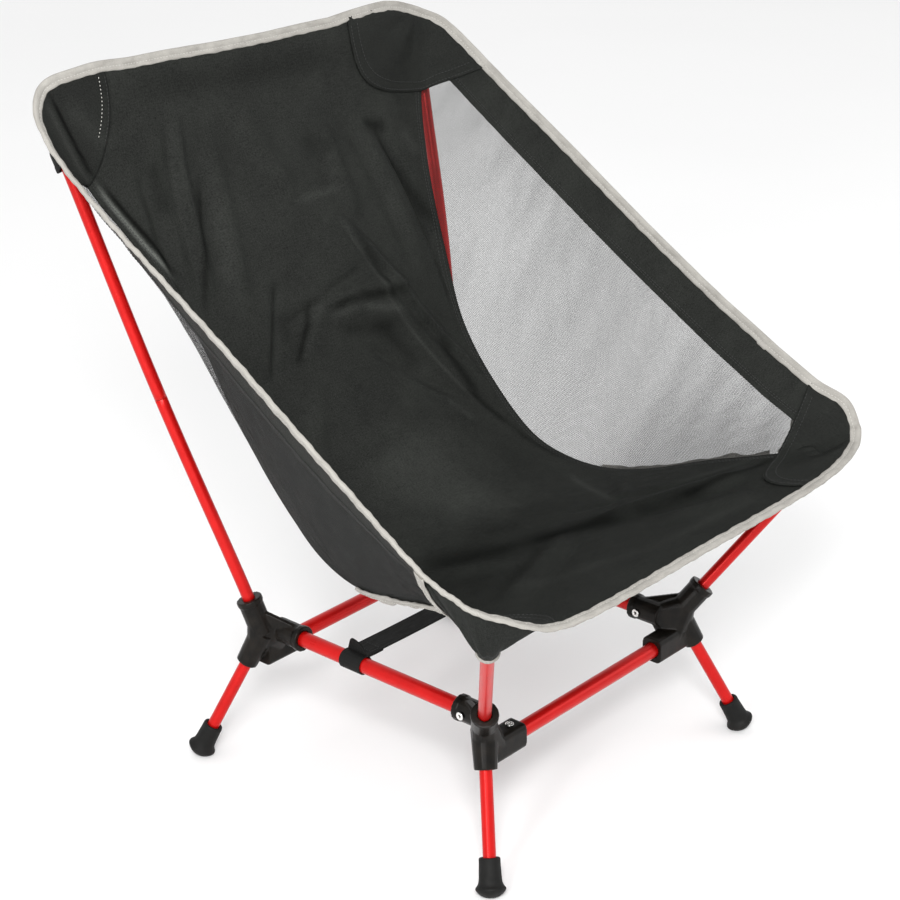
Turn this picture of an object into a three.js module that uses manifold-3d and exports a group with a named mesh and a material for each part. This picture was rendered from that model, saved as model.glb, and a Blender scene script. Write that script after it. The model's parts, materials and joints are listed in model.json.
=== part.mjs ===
// Ultralight backpacking chair: four moulded corner hubs on a low rectangular base, four splayed
// legs, four uprights, and a fabric sling whose corner pockets sit on the uprights' tips.
// Millimetres, +Z up. The front of the seat faces -Y. Left is -X and right is +X, seen from in front.
import * as THREE from 'three';
import { mergeVertices } from 'three/addons/utils/BufferGeometryUtils.js';
import { ConvexGeometry } from 'three/addons/geometries/ConvexGeometry.js';
import Module from 'manifold-3d';

const wasm = await Module();
wasm.setup();

// ---- Driving dimensions ----

const clearance = 0.35; // between pieces that touch
const overcut = 2; // how far a cutting tool runs past what it cuts
const roundSides = 16; // facets round a tube, a boss or a bore
const smallSides = 12;

// The base: side bars run front to back, end bars run across, a little lower.
const sideBarX = 124;
const sideBarHeight = 126;
const endBarY = 137;
const endBarHeight = 104;
const barRadius = 7.25;
const barWall = 1;
const sideBarEnd = 118; // |y| of a side bar's two ends, inside the hubs
const endBarEnd = 120; // |x| of an end bar's two ends

// Poles: each hub's leg and upright start from one junction point.
const poleRadius = 5.7;
const poleWall = 0.9;
const junction = { x: 138, y: 135, z: 126 };
const footPoint = { x: 185, y: 182, z: 0 };
const frontPoleTarget = { x: 245, y: 234, z: 294 };
const backPoleTarget = { x: 231, y: 265, z: 606 };
const frontPoleLength = 190; // junction to the end of the tube
const backPoleLength = 474;
const poleStart = 8; // junction to the near end of a leg or an upright
const backPoleSplit = 244;
const ferruleLength = 60;
const ferruleWall = 0.8;

// Corner hubs.
const bossRadius = 11.4;
const uprightBossLength = 36;
const legBossLength = 35;
const barrelStart = 128;
const barrelEnd = 95; // |y| of the side barrel's mouth
const blockEnd = 96; // |x| of the end block's mouth
const blockWidth = 21;
const blockHeight = 24;
const blockCorner = 5;
const lipHeight = 0.9; // a thicker ring round the mouth of each collar and barrel
const lipLength = 5;
const lipTaper = 1;
const legBossFlare = 0.6; // the leg boss is wider than bossRadius at the core and narrower at its mouth
const legBossTaper = 1.8;
const coreReach = 12; // from the junction to the core's edge along the leg and the upright
const coreInset = 0.4; // the core stays inside the bosses
const coreBarEnd = 122; // |x| or |y| of the core's edge on the base bars
const coreBarRadius = 10.2;
const webOverlap = 8; // how far short of a boss's mouth its gusset stops
const cordChannelRadius = 3.4;
const webThickness = 5;

// Rivets, tip caps, feet and shock cords.
const rivetRadius = 2.3;
const rivetBore = 1.2;
const rivetHeadRadius = 3.9;
const rivetHeadHeight = 0.9;
const capRadius = 6.2;
const capLength = 7;
const capStem = 12;
const footHeight = 34;
const footBoreDepth = 27;
const footFlangeRadius = 13;
const footFlangeStart = 7; // from the ground, along the leg
const footDomeRadius = 17.5;
const footNeck = [[13.2, 8.6], [11.4, 10.4], [10, 13.5], [9.5, 18]]; // radius and distance from the ground
const footTopRadius = 9;
const cordRadius = 1.4;
const cordReach = 58; // how far a shock cord runs into the leg and into the upright

// The strap between the side bars.
const strapY = 30;
const strapWidth = 25;
const strapThickness = 1.2;

// The sling's rim, right half, from the middle of the top edge to the middle of the front edge.
const rimHalf = [
  [0, 270, 644],
  [188, 268, 637],
  [236, 265, 621],
  [256, 246, 607],
  [267, 10, 464],
  [270, -205, 329],
  [263, -241, 297],
  [217, -259, 288],
  [0, -262, 282],
];
const rimTopCorner = 2; // index in rimHalf of the rounded corner over the back upright
const rimFrontCorner = 6;
// The right seam between the seat panel and the side panel, from the top corner to the front corner.
const seamPoints = [
  [236, 265, 621],
  [223, 251, 583],
  [203, 236, 543],
  [184, 215, 508],
  [168, 193, 472],
  [154, 163, 413],
  [149, 136, 347],
  [151, 95, 290],
  [155, 50, 249],
  [161, 12, 235],
  [168, -30, 233],
  [176, -75, 243],
  [190, -125, 260],
  [214, -190, 280],
  [263, -241, 297],
];
const seatCrown = 9; // how far the middle of the seat panel stands towards the sitter, above its seams
const sideBulge = 5;
const fabricThickness = 1.4;
const bindingRadius = 3.5;
const bandWidth = 42;
const windowTop = 0.105; // share of the seam's length where the mesh window starts and ends
const windowFront = 0.915;
const patchThickness = 0.9;
const patchGap = 0.6;
const tapeStart = 0.56;
const tapeEnd = 0.9;
const tapeWidth = 9;
const tapeThickness = 1;
const tapeStandOff = 2.8; // from the seam line to the tape's middle
const frontPocketLength = 30;
const backPocketLength = 24;
const pocketWall = 1.2;
const pocketMouthRadius = 8;
const pocketCrownRadius = 9.5;

// The origin lies under the middle of the whole chair, a little behind the base's centre.
const baseCentreY = -4;

// ---- Materials ----

function finish(color, roughness, metalness) {
  return () => new THREE.MeshStandardMaterial({ color, roughness, metalness });
}


const anodisedRed = finish(0xd2190f, 0.3, 0.7);
const nylon = finish(0x2b2724, 0.55, 0);
const rubber = finish(0x2a2a28, 0.85, 0);
const steel = finish(0xc9c9c6, 0.25, 1);
const aluminium = finish(0xb8bcc0, 0.4, 1);
const elastic = finish(0x20201f, 0.9, 0);
const webbing = finish(0x121212, 0.9, 0);
const fabric = finish(0x2b2d2c, 0.85, 0);
const mesh = finish(0x5d6060, 0.85, 0);
const binding = finish(0xc9c6c0, 0.8, 0);

// ---- Solids ----

const chair = new THREE.Group();
chair.position.y = baseCentreY;

const vec = (x, y, z) => new THREE.Vector3(x, y, z);

// A closed, outward-facing solid from any closed three.js geometry.
function toSolid(geometry) {
  const bare = geometry.index ? geometry.toNonIndexed() : geometry.clone();
  bare.deleteAttribute('normal');
  bare.deleteAttribute('uv');
  const merged = mergeVertices(bare, 1e-4);
  const corners = merged.attributes.position;
  const triangles = [];
  let volume = 0;
  for (let i = 0; i < merged.index.count; i += 3) {
    const [a, b, c] = [0, 1, 2].map((k) => merged.index.getX(i + k));
    if (a === b || b === c || c === a) continue;
    triangles.push(a, b, c);
    const [pa, pb, pc] = [a, b, c].map((k) => vec().fromBufferAttribute(corners, k));
    volume += pa.dot(pb.cross(pc));
  }
  if (volume < 0) triangles.reverse();
  return new wasm.Manifold(new wasm.Mesh({
    numProp: 3,
    vertProperties: new Float32Array(corners.array),
    triVerts: new Uint32Array(triangles),
  }));
}

function addPart(name, material, solid) {
  const body = solid instanceof THREE.BufferGeometry ? toSolid(solid) : solid;
  const shape = body.getMesh();
  const geometry = new THREE.BufferGeometry();
  geometry.setAttribute('position', new THREE.BufferAttribute(shape.vertProperties, 3));
  geometry.setIndex(new THREE.BufferAttribute(shape.triVerts, 1));
  geometry.computeVertexNormals();
  const part = new THREE.Mesh(geometry, material());
  part.name = name;
  chair.add(part);
}

const joined = (solids) => solids.reduce((whole, piece) => whole.add(piece));
const cut = (body, tools) => tools.reduce((left, tool) => left.subtract(tool), body);

// Turns geometry built along +Y so that it starts at a point and runs along a direction.
function along(geometry, start, direction) {
  const turn = new THREE.Quaternion().setFromUnitVectors(vec(0, 1, 0), direction);
  return geometry.applyQuaternion(turn).translate(start.x, start.y, start.z);
}

// A turned solid: profile is a list of [radius, distance along the direction].
function turned(profile, start, direction, sides = roundSides) {
  const outline = profile.map(([radius, length]) => new THREE.Vector2(radius, length));
  return toSolid(along(new THREE.LatheGeometry(outline, sides), start, direction));
}

function rod(start, direction, from, to, radius, sides = roundSides, endRadius = radius) {
  return turned([[0, from], [radius, from], [endRadius, to], [0, to]], start, direction, sides);
}

function tube(start, direction, from, to, outer, inner, sides = roundSides) {
  const ring = [[inner, from], [outer, from], [outer, to], [inner, to], [inner, from]];
  return turned(ring, start, direction, sides);
}

// ---- Corners ----

const corners = [
  { name: 'front_left', sx: -1, sy: -1 },
  { name: 'front_right', sx: 1, sy: -1 },
  { name: 'back_left', sx: -1, sy: 1 },
  { name: 'back_right', sx: 1, sy: 1 },
];

const atCorner = (corner, { x, y, z }) => vec(corner.sx * x, corner.sy * y, z);
const isBack = (corner) => corner.sy > 0;

for (const corner of corners) {
  corner.origin = atCorner(corner, junction);
  const target = atCorner(corner, isBack(corner) ? backPoleTarget : frontPoleTarget);
  corner.up = target.sub(corner.origin).normalize();
  corner.down = atCorner(corner, footPoint).sub(corner.origin).normalize();
  corner.poleLength = isBack(corner) ? backPoleLength : frontPoleLength;
  corner.inX = vec(-corner.sx, 0, 0);
  corner.inY = vec(0, -corner.sy, 0);
}

// Which bar is riveted into which hub, and the rivet's axis. The bar's other end only plugs in.
const rivets = [
  { name: 'rivet_front', corner: corners[0], bar: 'end', axis: vec(0, 0, 1) },
  { name: 'rivet_left', corner: corners[0], bar: 'side', axis: vec(1, 0, 0) },
  { name: 'rivet_right', corner: corners[1], bar: 'side', axis: vec(1, 0, 0) },
  { name: 'rivet_back', corner: corners[2], bar: 'end', axis: vec(0, 0, 1) },
];
const rivetInset = 11; // from the hub arm's mouth

for (const rivet of rivets) {
  const { corner } = rivet;
  const isEnd = rivet.bar === 'end';
  rivet.centre = isEnd
    ? vec(corner.sx * (blockEnd + rivetInset), corner.sy * endBarY, endBarHeight)
    : vec(corner.sx * sideBarX, corner.sy * (barrelEnd + rivetInset), sideBarHeight);
  rivet.reach = isEnd ? blockHeight / 2 : bossRadius;
  rivet.hole = rod(rivet.centre, rivet.axis, -30, 30, rivetRadius + clearance, smallSides);
}

// ---- Base bars ----

function addBars() {
  const bars = [
    { name: 'bar_left', start: vec(-sideBarX, 0, sideBarHeight), direction: vec(0, 1, 0), half: sideBarEnd },
    { name: 'bar_right', start: vec(sideBarX, 0, sideBarHeight), direction: vec(0, 1, 0), half: sideBarEnd },
    { name: 'bar_front', start: vec(0, -endBarY, endBarHeight), direction: vec(1, 0, 0), half: endBarEnd },
    { name: 'bar_back', start: vec(0, endBarY, endBarHeight), direction: vec(1, 0, 0), half: endBarEnd },
  ];
  for (const bar of bars) {
    const body = tube(bar.start, bar.direction, -bar.half, bar.half, barRadius, barRadius - barWall);
    const rivet = rivets.find((item) => item.name === bar.name.replace('bar', 'rivet'));
    addPart(bar.name, anodisedRed, cut(body, [rivet.hole]));
  }
}

// ---- Hubs ----

// Points round a ring, for the hull that joins the hub's arms.
function ringPoints(centre, direction, radius, count = 12) {
  const turn = new THREE.Quaternion().setFromUnitVectors(vec(0, 0, 1), direction);
  return Array.from({ length: count }, (_, i) => {
    const angle = (2 * Math.PI * i) / count;
    return vec(radius * Math.cos(angle), radius * Math.sin(angle), 0).applyQuaternion(turn).add(centre);
  });
}

function roundedRectangle(width, height, radius) {
  const shape = new THREE.Shape();
  const x = width / 2 - radius;
  const y = height / 2 - radius;
  shape.absarc(x, y, radius, 0, Math.PI / 2);
  shape.absarc(-x, y, radius, Math.PI / 2, Math.PI);
  shape.absarc(-x, -y, radius, Math.PI, 1.5 * Math.PI);
  shape.absarc(x, -y, radius, 1.5 * Math.PI, 2 * Math.PI);
  return shape;
}

// The squared arm that holds an end bar, along X from the hub's core to its mouth.
function blockArm(corner) {
  const length = junction.x - blockEnd;
  const outline = roundedRectangle(blockWidth, blockHeight, blockCorner);
  const block = new THREE.ExtrudeGeometry(outline, { depth: length, bevelEnabled: false, curveSegments: 4 });
  block.rotateX(Math.PI / 2).rotateZ(Math.PI / 2); // section across Y and Z, length along X
  block.computeBoundingBox();
  const size = block.boundingBox;
  const middleX = corner.sx * (blockEnd + length / 2);
  block.translate(
    middleX - (size.min.x + size.max.x) / 2,
    corner.sy * endBarY - (size.min.y + size.max.y) / 2,
    endBarHeight - (size.min.z + size.max.z) / 2,
  );
  return toSolid(block);
}

// A thin gusset between two edges, each given by two points.
function gusset(points, normal) {
  const half = normal.clone().multiplyScalar(webThickness / 2);
  const spread = points.flatMap((point) => [point.clone().add(half), point.clone().sub(half)]);
  return toSolid(new ConvexGeometry(spread));
}

function hubSolid(corner) {
  const { origin, up, down, sx, sy } = corner;
  const pointOn = (direction, distance) => origin.clone().addScaledVector(direction, distance);
  const barrelAxis = vec(sx * sideBarX, 0, sideBarHeight);
  const outY = vec(0, sy, 0);
  const core = toSolid(new ConvexGeometry([
    ...ringPoints(pointOn(up, coreReach), up, bossRadius - coreInset),
    ...ringPoints(pointOn(down, coreReach), down, bossRadius - 2 * coreInset),
    ...ringPoints(vec(sx * sideBarX, sy * coreBarEnd, sideBarHeight), outY, bossRadius - coreInset),
    ...ringPoints(vec(sx * coreBarEnd, sy * endBarY, endBarHeight), vec(1, 0, 0), coreBarRadius, 8),
  ]));
  const lipRadius = bossRadius + lipHeight;
  const lipStart = uprightBossLength - lipLength;
  const collar = turned([
    [0, 0], [bossRadius, 0], [bossRadius, lipStart - lipTaper], [lipRadius, lipStart],
    [lipRadius, uprightBossLength], [0, uprightBossLength],
  ], origin, up);
  const flare = bossRadius + legBossFlare;
  const legBoss = rod(origin, down, 0, legBossLength, flare, roundSides, flare - legBossTaper);
  const barrelLip = barrelEnd + lipLength;
  const barrel = turned([
    [0, barrelEnd], [lipRadius, barrelEnd], [lipRadius, barrelLip], [bossRadius, barrelLip + lipTaper],
    [bossRadius, barrelStart], [0, barrelStart],
  ], barrelAxis, outY);
  const block = blockArm(corner);
  const sideWeb = gusset([
    pointOn(up, 4), pointOn(up, uprightBossLength - webOverlap),
    vec(sx * sideBarX, sy * (barrelEnd + webOverlap), sideBarHeight + bossRadius - 1),
    vec(sx * sideBarX, sy * barrelStart, sideBarHeight),
  ], corner.inX);
  const legWeb = gusset([
    pointOn(down, 4), pointOn(down, legBossLength - webOverlap),
    vec(sx * (blockEnd + webOverlap), sy * endBarY, endBarHeight - blockHeight / 2 + 1),
    vec(sx * endBarEnd, sy * endBarY, endBarHeight),
  ], corner.inY);
  const bend = new THREE.SphereGeometry(cordChannelRadius + 0.4, smallSides, 8);
  bend.translate(origin.x, origin.y, origin.z); // where the cord turns from the leg to the upright
  const bores = [
    rod(origin, up, poleStart - clearance, uprightBossLength + overcut, poleRadius + clearance),
    rod(origin, down, poleStart - clearance, legBossLength + overcut, poleRadius + clearance),
    rod(origin, up, -1, poleStart, cordChannelRadius, smallSides),
    rod(origin, down, -1, poleStart, cordChannelRadius, smallSides),
    toSolid(bend),
    rod(barrelAxis, outY, barrelEnd - 40, sideBarEnd + clearance, barRadius + clearance),
    rod(vec(0, sy * endBarY, endBarHeight), vec(sx, 0, 0), blockEnd - 40, endBarEnd + clearance,
      barRadius + clearance),
    ...rivets.filter((rivet) => rivet.corner === corner).map((rivet) => rivet.hole),
  ];
  return cut(joined([core, collar, legBoss, barrel, block, sideWeb, legWeb]), bores);
}

// A hollow rivet with a head at each end.
function rivetSolid(rivet) {
  const shoulder = rivet.reach + clearance + 0.6;
  const crown = shoulder + rivetHeadHeight;
  const crownRadius = rivetHeadRadius - 0.6;
  return turned([
    [rivetBore, -crown], [crownRadius, -crown], [rivetHeadRadius, -shoulder], [rivetRadius, -shoulder],
    [rivetRadius, shoulder], [rivetHeadRadius, shoulder], [crownRadius, crown], [rivetBore, crown],
    [rivetBore, -crown],
  ], rivet.centre, rivet.axis, smallSides);
}

// ---- Legs, feet and uprights ----

const groundBlock = toSolid(new THREE.BoxGeometry(1000, 1000, 100).translate(0, 0, -50));

// A flared rubber boot with a domed base, cut flat where it meets the ground.
function footSolid(corner) {
  const ground = atCorner(corner, footPoint);
  const upLeg = corner.down.clone().negate();
  const domeCentre = footFlangeStart + Math.sqrt(footDomeRadius ** 2 - footFlangeRadius ** 2);
  const domeEdge = Math.asin(footFlangeRadius / footDomeRadius);
  const dome = Array.from({ length: 7 }, (_, i) => {
    const angle = (domeEdge * i) / 6;
    return [footDomeRadius * Math.sin(angle), domeCentre - footDomeRadius * Math.cos(angle)];
  });
  const boreEnd = footHeight - footBoreDepth;
  const body = turned([
    ...dome, ...footNeck, [footTopRadius, footHeight],
    [poleRadius + clearance, footHeight], [poleRadius + clearance, boreEnd], [0, boreEnd],
  ], ground, upLeg);
  return cut(body, [groundBlock]);
}

function legTube(corner) {
  const reach = corner.origin.distanceTo(atCorner(corner, footPoint));
  const end = reach - (footHeight - footBoreDepth) - clearance;
  return tube(corner.origin, corner.down, poleStart, end, poleRadius, poleRadius - poleWall);
}

// A plug with a domed head, in the open end of an upright.
function tipCap(corner) {
  const seat = corner.poleLength + clearance;
  const stemRadius = poleRadius - poleWall - clearance;
  const stemEnd = corner.poleLength - capStem;
  const dome = [[0, 3], [1, 5.2], [3, 6.4]].map(([inset, height]) => [capRadius - inset, seat + height]);
  return turned([
    [0, stemEnd], [stemRadius, stemEnd], [stemRadius, seat], [capRadius, seat], ...dome,
    [0, seat + capLength],
  ], corner.origin, corner.up);
}

function addUpright(corner) {
  const inner = poleRadius - poleWall;
  const pole = (from, to) => tube(corner.origin, corner.up, from, to, poleRadius, inner);
  if (!isBack(corner)) {
    addPart(`upright_${corner.name}`, anodisedRed, pole(poleStart, corner.poleLength));
    return;
  }
  addPart(`upright_${corner.name}_lower`, anodisedRed, pole(poleStart, backPoleSplit));
  addPart(`upright_${corner.name}_upper`, anodisedRed, pole(backPoleSplit + clearance, corner.poleLength));
  const outer = inner - clearance;
  const from = backPoleSplit - ferruleLength / 2;
  addPart(`ferrule_${corner.name}`, aluminium,
    tube(corner.origin, corner.up, from, from + ferruleLength, outer, outer - ferruleWall));
}

// One elastic cord from inside the leg, through the hub, into the upright.
function shockCord(corner) {
  const bend = 4; // distance from the junction where the cord starts to turn
  const pointOn = (direction, distance) => corner.origin.clone().addScaledVector(direction, distance);
  const path = new THREE.CurvePath();
  path.add(new THREE.LineCurve3(pointOn(corner.down, cordReach), pointOn(corner.down, bend)));
  path.add(new THREE.QuadraticBezierCurve3(
    pointOn(corner.down, bend), corner.origin, pointOn(corner.up, bend)));
  path.add(new THREE.LineCurve3(pointOn(corner.up, bend), pointOn(corner.up, cordReach)));
  const section = new THREE.Shape().absarc(0, 0, cordRadius, 0, 2 * Math.PI);
  return toSolid(new THREE.ExtrudeGeometry(section, { steps: 24, curveSegments: 3, extrudePath: path }));
}

// ---- Strap ----

function strapSolid() {
  const inner = barRadius + clearance;
  const outer = inner + strapThickness;
  const loops = [-1, 1].map((side) => tube(vec(side * sideBarX, strapY, sideBarHeight), vec(0, 1, 0),
    -strapWidth / 2, strapWidth / 2, outer, inner));
  const band = new THREE.BoxGeometry(2 * sideBarX, strapWidth, strapThickness - 0.1);
  band.translate(0, strapY, sideBarHeight + outer - strapThickness / 2 - 0.05);
  return joined([...loops, toSolid(band)]);
}

// ---- Sling ----

const mirrored = ([x, y, z]) => [-x, y, z];
const rimLoop = [...rimHalf, ...rimHalf.slice(1, -1).reverse().map(mirrored)];
const rim = new THREE.CatmullRomCurve3(rimLoop.map((p) => vec(...p)), true, 'centripetal');
const rimAt = (index) => rim.getPoint(((index + rimLoop.length) % rimLoop.length) / rimLoop.length);
const seam = new THREE.CatmullRomCurve3(seamPoints.map((p) => vec(...p)), false, 'centripetal');
const sideSteps = 80;
const rimSide = new THREE.CatmullRomCurve3(Array.from({ length: sideSteps + 1 }, (_, i) => (
  rimAt(rimTopCorner + ((rimFrontCorner - rimTopCorner) * i) / sideSteps))));

// The rim's point at a given x, between two places on it whose x rises from the first to the second.
function rimAcross(from, to, x) {
  let [low, high] = [from, to];
  for (let i = 0; i < 24; i += 1) {
    const middle = (low + high) / 2;
    if (rimAt(middle).x < x) low = middle;
    else high = middle;
  }
  return rimAt(high);
}

// The seat panel: along runs 0 to 1 from the top edge to the front edge, across 0 to 1 from -X to +X.
function seatPoint(lengthwise, across) {
  const side = 2 * across - 1;
  const edge = seam.getPointAt(lengthwise);
  const tangent = seam.getTangentAt(lengthwise);
  const outward = vec(0, -tangent.z, tangent.y).normalize();
  const crown = (1 - side ** 2) * seatCrown * Math.sin(Math.PI * lengthwise) ** 0.7;
  const point = vec(edge.x * side, edge.y, edge.z).addScaledVector(outward, -crown);
  const topPull = (1 - lengthwise) ** 8;
  const frontPull = lengthwise ** 8;
  const topCorner = rimHalf[rimTopCorner];
  const frontCorner = rimHalf[rimFrontCorner];
  const top = rimAcross(-rimTopCorner, rimTopCorner, topCorner[0] * side);
  const front = rimAcross(rimLoop.length - rimFrontCorner, rimFrontCorner, frontCorner[0] * side);
  point.y += topPull * (top.y - topCorner[1]) + frontPull * (front.y - frontCorner[1]);
  point.z += topPull * (top.z - topCorner[2]) + frontPull * (front.z - frontCorner[2]);
  return point;
}

const sideWidth = (lengthwise) => seam.getPointAt(lengthwise).distanceTo(rimSide.getPointAt(lengthwise));

// The right side panel: across runs 0 to 1 from the seam to the rim.
function sidePoint(lengthwise, across) {
  const inner = seam.getPointAt(lengthwise);
  const outer = rimSide.getPointAt(lengthwise);
  const point = inner.clone().lerp(outer, across);
  const bulge = sideBulge * Math.sin(Math.PI * across) * Math.sin(Math.PI * lengthwise);
  const outward = outer.clone().sub(inner).cross(seam.getTangentAt(lengthwise)).normalize();
  return point.addScaledVector(outward, bulge);
}

function evenly(from, to, count) {
  return Array.from({ length: count + 1 }, (_, i) => from + ((to - from) * i) / count);
}

// The unit normal of a surface, away from the sitter.
function outwardNormal(surface, row, column) {
  const step = 1e-3;
  const downward = surface(Math.min(row + step, 1), column).sub(surface(Math.max(row - step, 0), column));
  const rightward = surface(row, Math.min(column + step, 1)).sub(surface(row, Math.max(column - step, 0)));
  return rightward.cross(downward).normalize();
}

// A closed sheet between two offsets from a surface. Positive offsets are away from the sitter.
function sheet(surface, rows, columns, innerOffset, outerOffset, mirror = false) {
  const grid = rows.map((row) => columns(row).map((column) => (
    { point: surface(row, column), normal: outwardNormal(surface, row, column) })));
  const width = grid[0].length;
  const count = grid.length * width;
  const positions = [];
  for (const offset of [innerOffset, outerOffset]) {
    for (const { point, normal } of grid.flat()) {
      const moved = point.clone().addScaledVector(normal, offset);
      positions.push(mirror ? -moved.x : moved.x, moved.y, moved.z);
    }
  }
  const indices = [];
  const quad = (a, b, c, d) => indices.push(a, b, c, a, c, d);
  for (let i = 0; i < grid.length - 1; i += 1) {
    for (let j = 0; j < width - 1; j += 1) {
      const a = i * width + j;
      quad(a, a + 1, a + width + 1, a + width);
      quad(count + a, count + a + width, count + a + width + 1, count + a + 1);
    }
  }
  const border = [
    ...Array.from({ length: width - 1 }, (_, j) => [j, j + 1]),
    ...Array.from({ length: grid.length - 1 }, (_, i) => [(i + 1) * width - 1, (i + 2) * width - 1]),
    ...Array.from({ length: width - 1 }, (_, j) => [count - 1 - j, count - 2 - j]),
    ...Array.from({ length: grid.length - 1 }, (_, i) => [count - (i + 1) * width, count - (i + 2) * width]),
  ];
  for (const [a, b] of border) quad(a, a + count, b + count, b);
  const geometry = new THREE.BufferGeometry();
  geometry.setAttribute('position', new THREE.Float32BufferAttribute(positions, 3));
  geometry.setIndex(indices);
  return toSolid(geometry);
}

// A closed loop of round section along the rim.
function bindingSolid() {
  const steps = 96;
  const sides = 6;
  const rings = Array.from({ length: steps }, (_, i) => {
    const centre = rim.getPointAt(i / steps);
    const forward = rim.getTangentAt(i / steps);
    const across = forward.clone().cross(vec(0, 0.53, 0.85)).normalize();
    const lift = across.clone().cross(forward);
    return Array.from({ length: sides }, (__, k) => {
      const angle = (2 * Math.PI * (k + 0.5)) / sides;
      return centre.clone().addScaledVector(across, bindingRadius * Math.cos(angle))
        .addScaledVector(lift, bindingRadius * Math.sin(angle));
    });
  });
  const indices = [];
  for (let i = 0; i < steps; i += 1) {
    for (let k = 0; k < sides; k += 1) {
      const a = i * sides + k;
      const b = i * sides + ((k + 1) % sides);
      const c = ((i + 1) % steps) * sides;
      indices.push(a, b, c + ((k + 1) % sides), a, c + ((k + 1) % sides), c + k);
    }
  }
  const geometry = new THREE.BufferGeometry().setFromPoints(rings.flat());
  geometry.setIndex(indices);
  return toSolid(geometry);
}

const rimGap = bindingRadius + 2; // from the rim line to the edge of any panel
const half = fabricThickness / 2;

function addSeat() {
  const seatLength = seam.getLength();
  const rows = evenly(rimGap / seatLength, 1 - rimGap / seatLength, 24);
  const edge = 0.006;
  addPart('seat_panel', fabric, sheet(seatPoint, rows, () => evenly(edge, 1 - edge, 6), -half, half));
}

function addSidePanels(side, mirror) {
  const seamGap = 1.6;
  const across = (row, from, to, count) => evenly(from / sideWidth(row), 1 - to / sideWidth(row), count);
  const meshRows = evenly(windowTop + 0.004, windowFront - 0.004, 16);
  addPart(`side_mesh_${side}`, mesh, sheet(sidePoint, meshRows,
    (row) => across(row, seamGap, bandWidth + clearance, 3), -half, half, mirror));
  const backRows = evenly(0.035, windowTop - 0.003, 4);
  const frontRows = evenly(windowFront + 0.003, 0.965, 3);
  const bandRows = [...backRows, ...evenly(windowTop, windowFront, 16), ...frontRows];
  const bandInner = (row) => (row < windowTop || row > windowFront ? seamGap : sideWidth(row) - bandWidth);
  addPart(`side_band_${side}`, fabric, sheet(sidePoint, bandRows,
    (row) => across(row, bandInner(row), rimGap, 2), -half, half, mirror));
  const patchOuter = -half - patchGap;
  for (const [end, rows] of [['back', backRows.slice(1, -1)], ['front', frontRows.slice(1, -1)]]) {
    addPart(`corner_patch_${end}_${side}`, fabric, sheet(sidePoint, rows,
      (row) => across(row, seamGap + 1, rimGap + 1, 2), patchOuter - patchThickness, patchOuter, mirror));
  }
}

// The tape that covers the seam from outside, where the seat panel turns into the side panel.
function addSeamTape(side, mirror) {
  const tapeSurface = (lengthwise, across) => {
    const row = tapeStart + (tapeEnd - tapeStart) * lengthwise;
    const outward = outwardNormal(seatPoint, row, 0.99).add(outwardNormal(sidePoint, row, 0.02)).normalize();
    const spread = outward.clone().cross(seam.getTangentAt(row)).normalize();
    return seam.getPointAt(row).addScaledVector(outward, tapeStandOff)
      .addScaledVector(spread, (0.5 - across) * tapeWidth);
  };
  const halfTape = tapeThickness / 2;
  const tape = sheet(tapeSurface, evenly(0, 1, 18), () => [0, 1], -halfTape, halfTape, mirror);
  addPart(`seam_tape_${side}`, binding, tape);
}

// A fabric funnel over an upright's tip, open downwards.
function pocketSolid(corner) {
  const crown = corner.poleLength + clearance + capLength + 1;
  const mouth = crown - (isBack(corner) ? backPocketLength : frontPocketLength);
  const inner = capRadius + 0.6;
  const funnel = turned([
    [pocketMouthRadius - pocketWall, mouth], [pocketMouthRadius, mouth], [pocketCrownRadius, crown - 4],
    [pocketCrownRadius - 2, crown + pocketWall], [0, crown + pocketWall], [0, crown], [inner, crown - 1],
    [pocketMouthRadius - pocketWall, mouth],
  ], corner.origin, corner.up);
  return cut(funnel, sitterSide(corner.sx < 0));
}

// Everything within reach on the sitter's side of the sling, where no pocket may be.
function sitterSide(mirror) {
  const reach = -25;
  const outside = half + 1.5; // allows for the panels' coarser facets
  return [
    sheet(seatPoint, evenly(0, 1, 40), () => evenly(0, 1, 8), reach, outside),
    sheet(sidePoint, evenly(0.02, 0.98, 30), () => evenly(0.02, 0.98, 4), reach, outside, mirror),
  ];
}

// ---- Assembly ----

addBars();
for (const rivet of rivets) addPart(rivet.name, steel, rivetSolid(rivet));
for (const corner of corners) {
  addPart(`hub_${corner.name}`, nylon, hubSolid(corner));
  addPart(`leg_${corner.name}`, anodisedRed, legTube(corner));
  addPart(`foot_${corner.name}`, rubber, footSolid(corner));
  addUpright(corner);
  addPart(`tip_cap_${corner.name}`, nylon, tipCap(corner));
  addPart(`shock_cord_${corner.name}`, elastic, shockCord(corner));
  addPart(`pocket_${corner.name}`, fabric, pocketSolid(corner));
}
addPart('base_strap', webbing, strapSolid());
addSeat();
for (const side of ['left', 'right']) {
  addSidePanels(side, side === 'left');
  addSeamTape(side, side === 'left');
}
addPart('edge_binding', binding, bindingSolid());

export default chair;
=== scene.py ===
import json
import math
import random

import bmesh
import bpy
import numpy as np
from mathutils import Matrix, Vector


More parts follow.
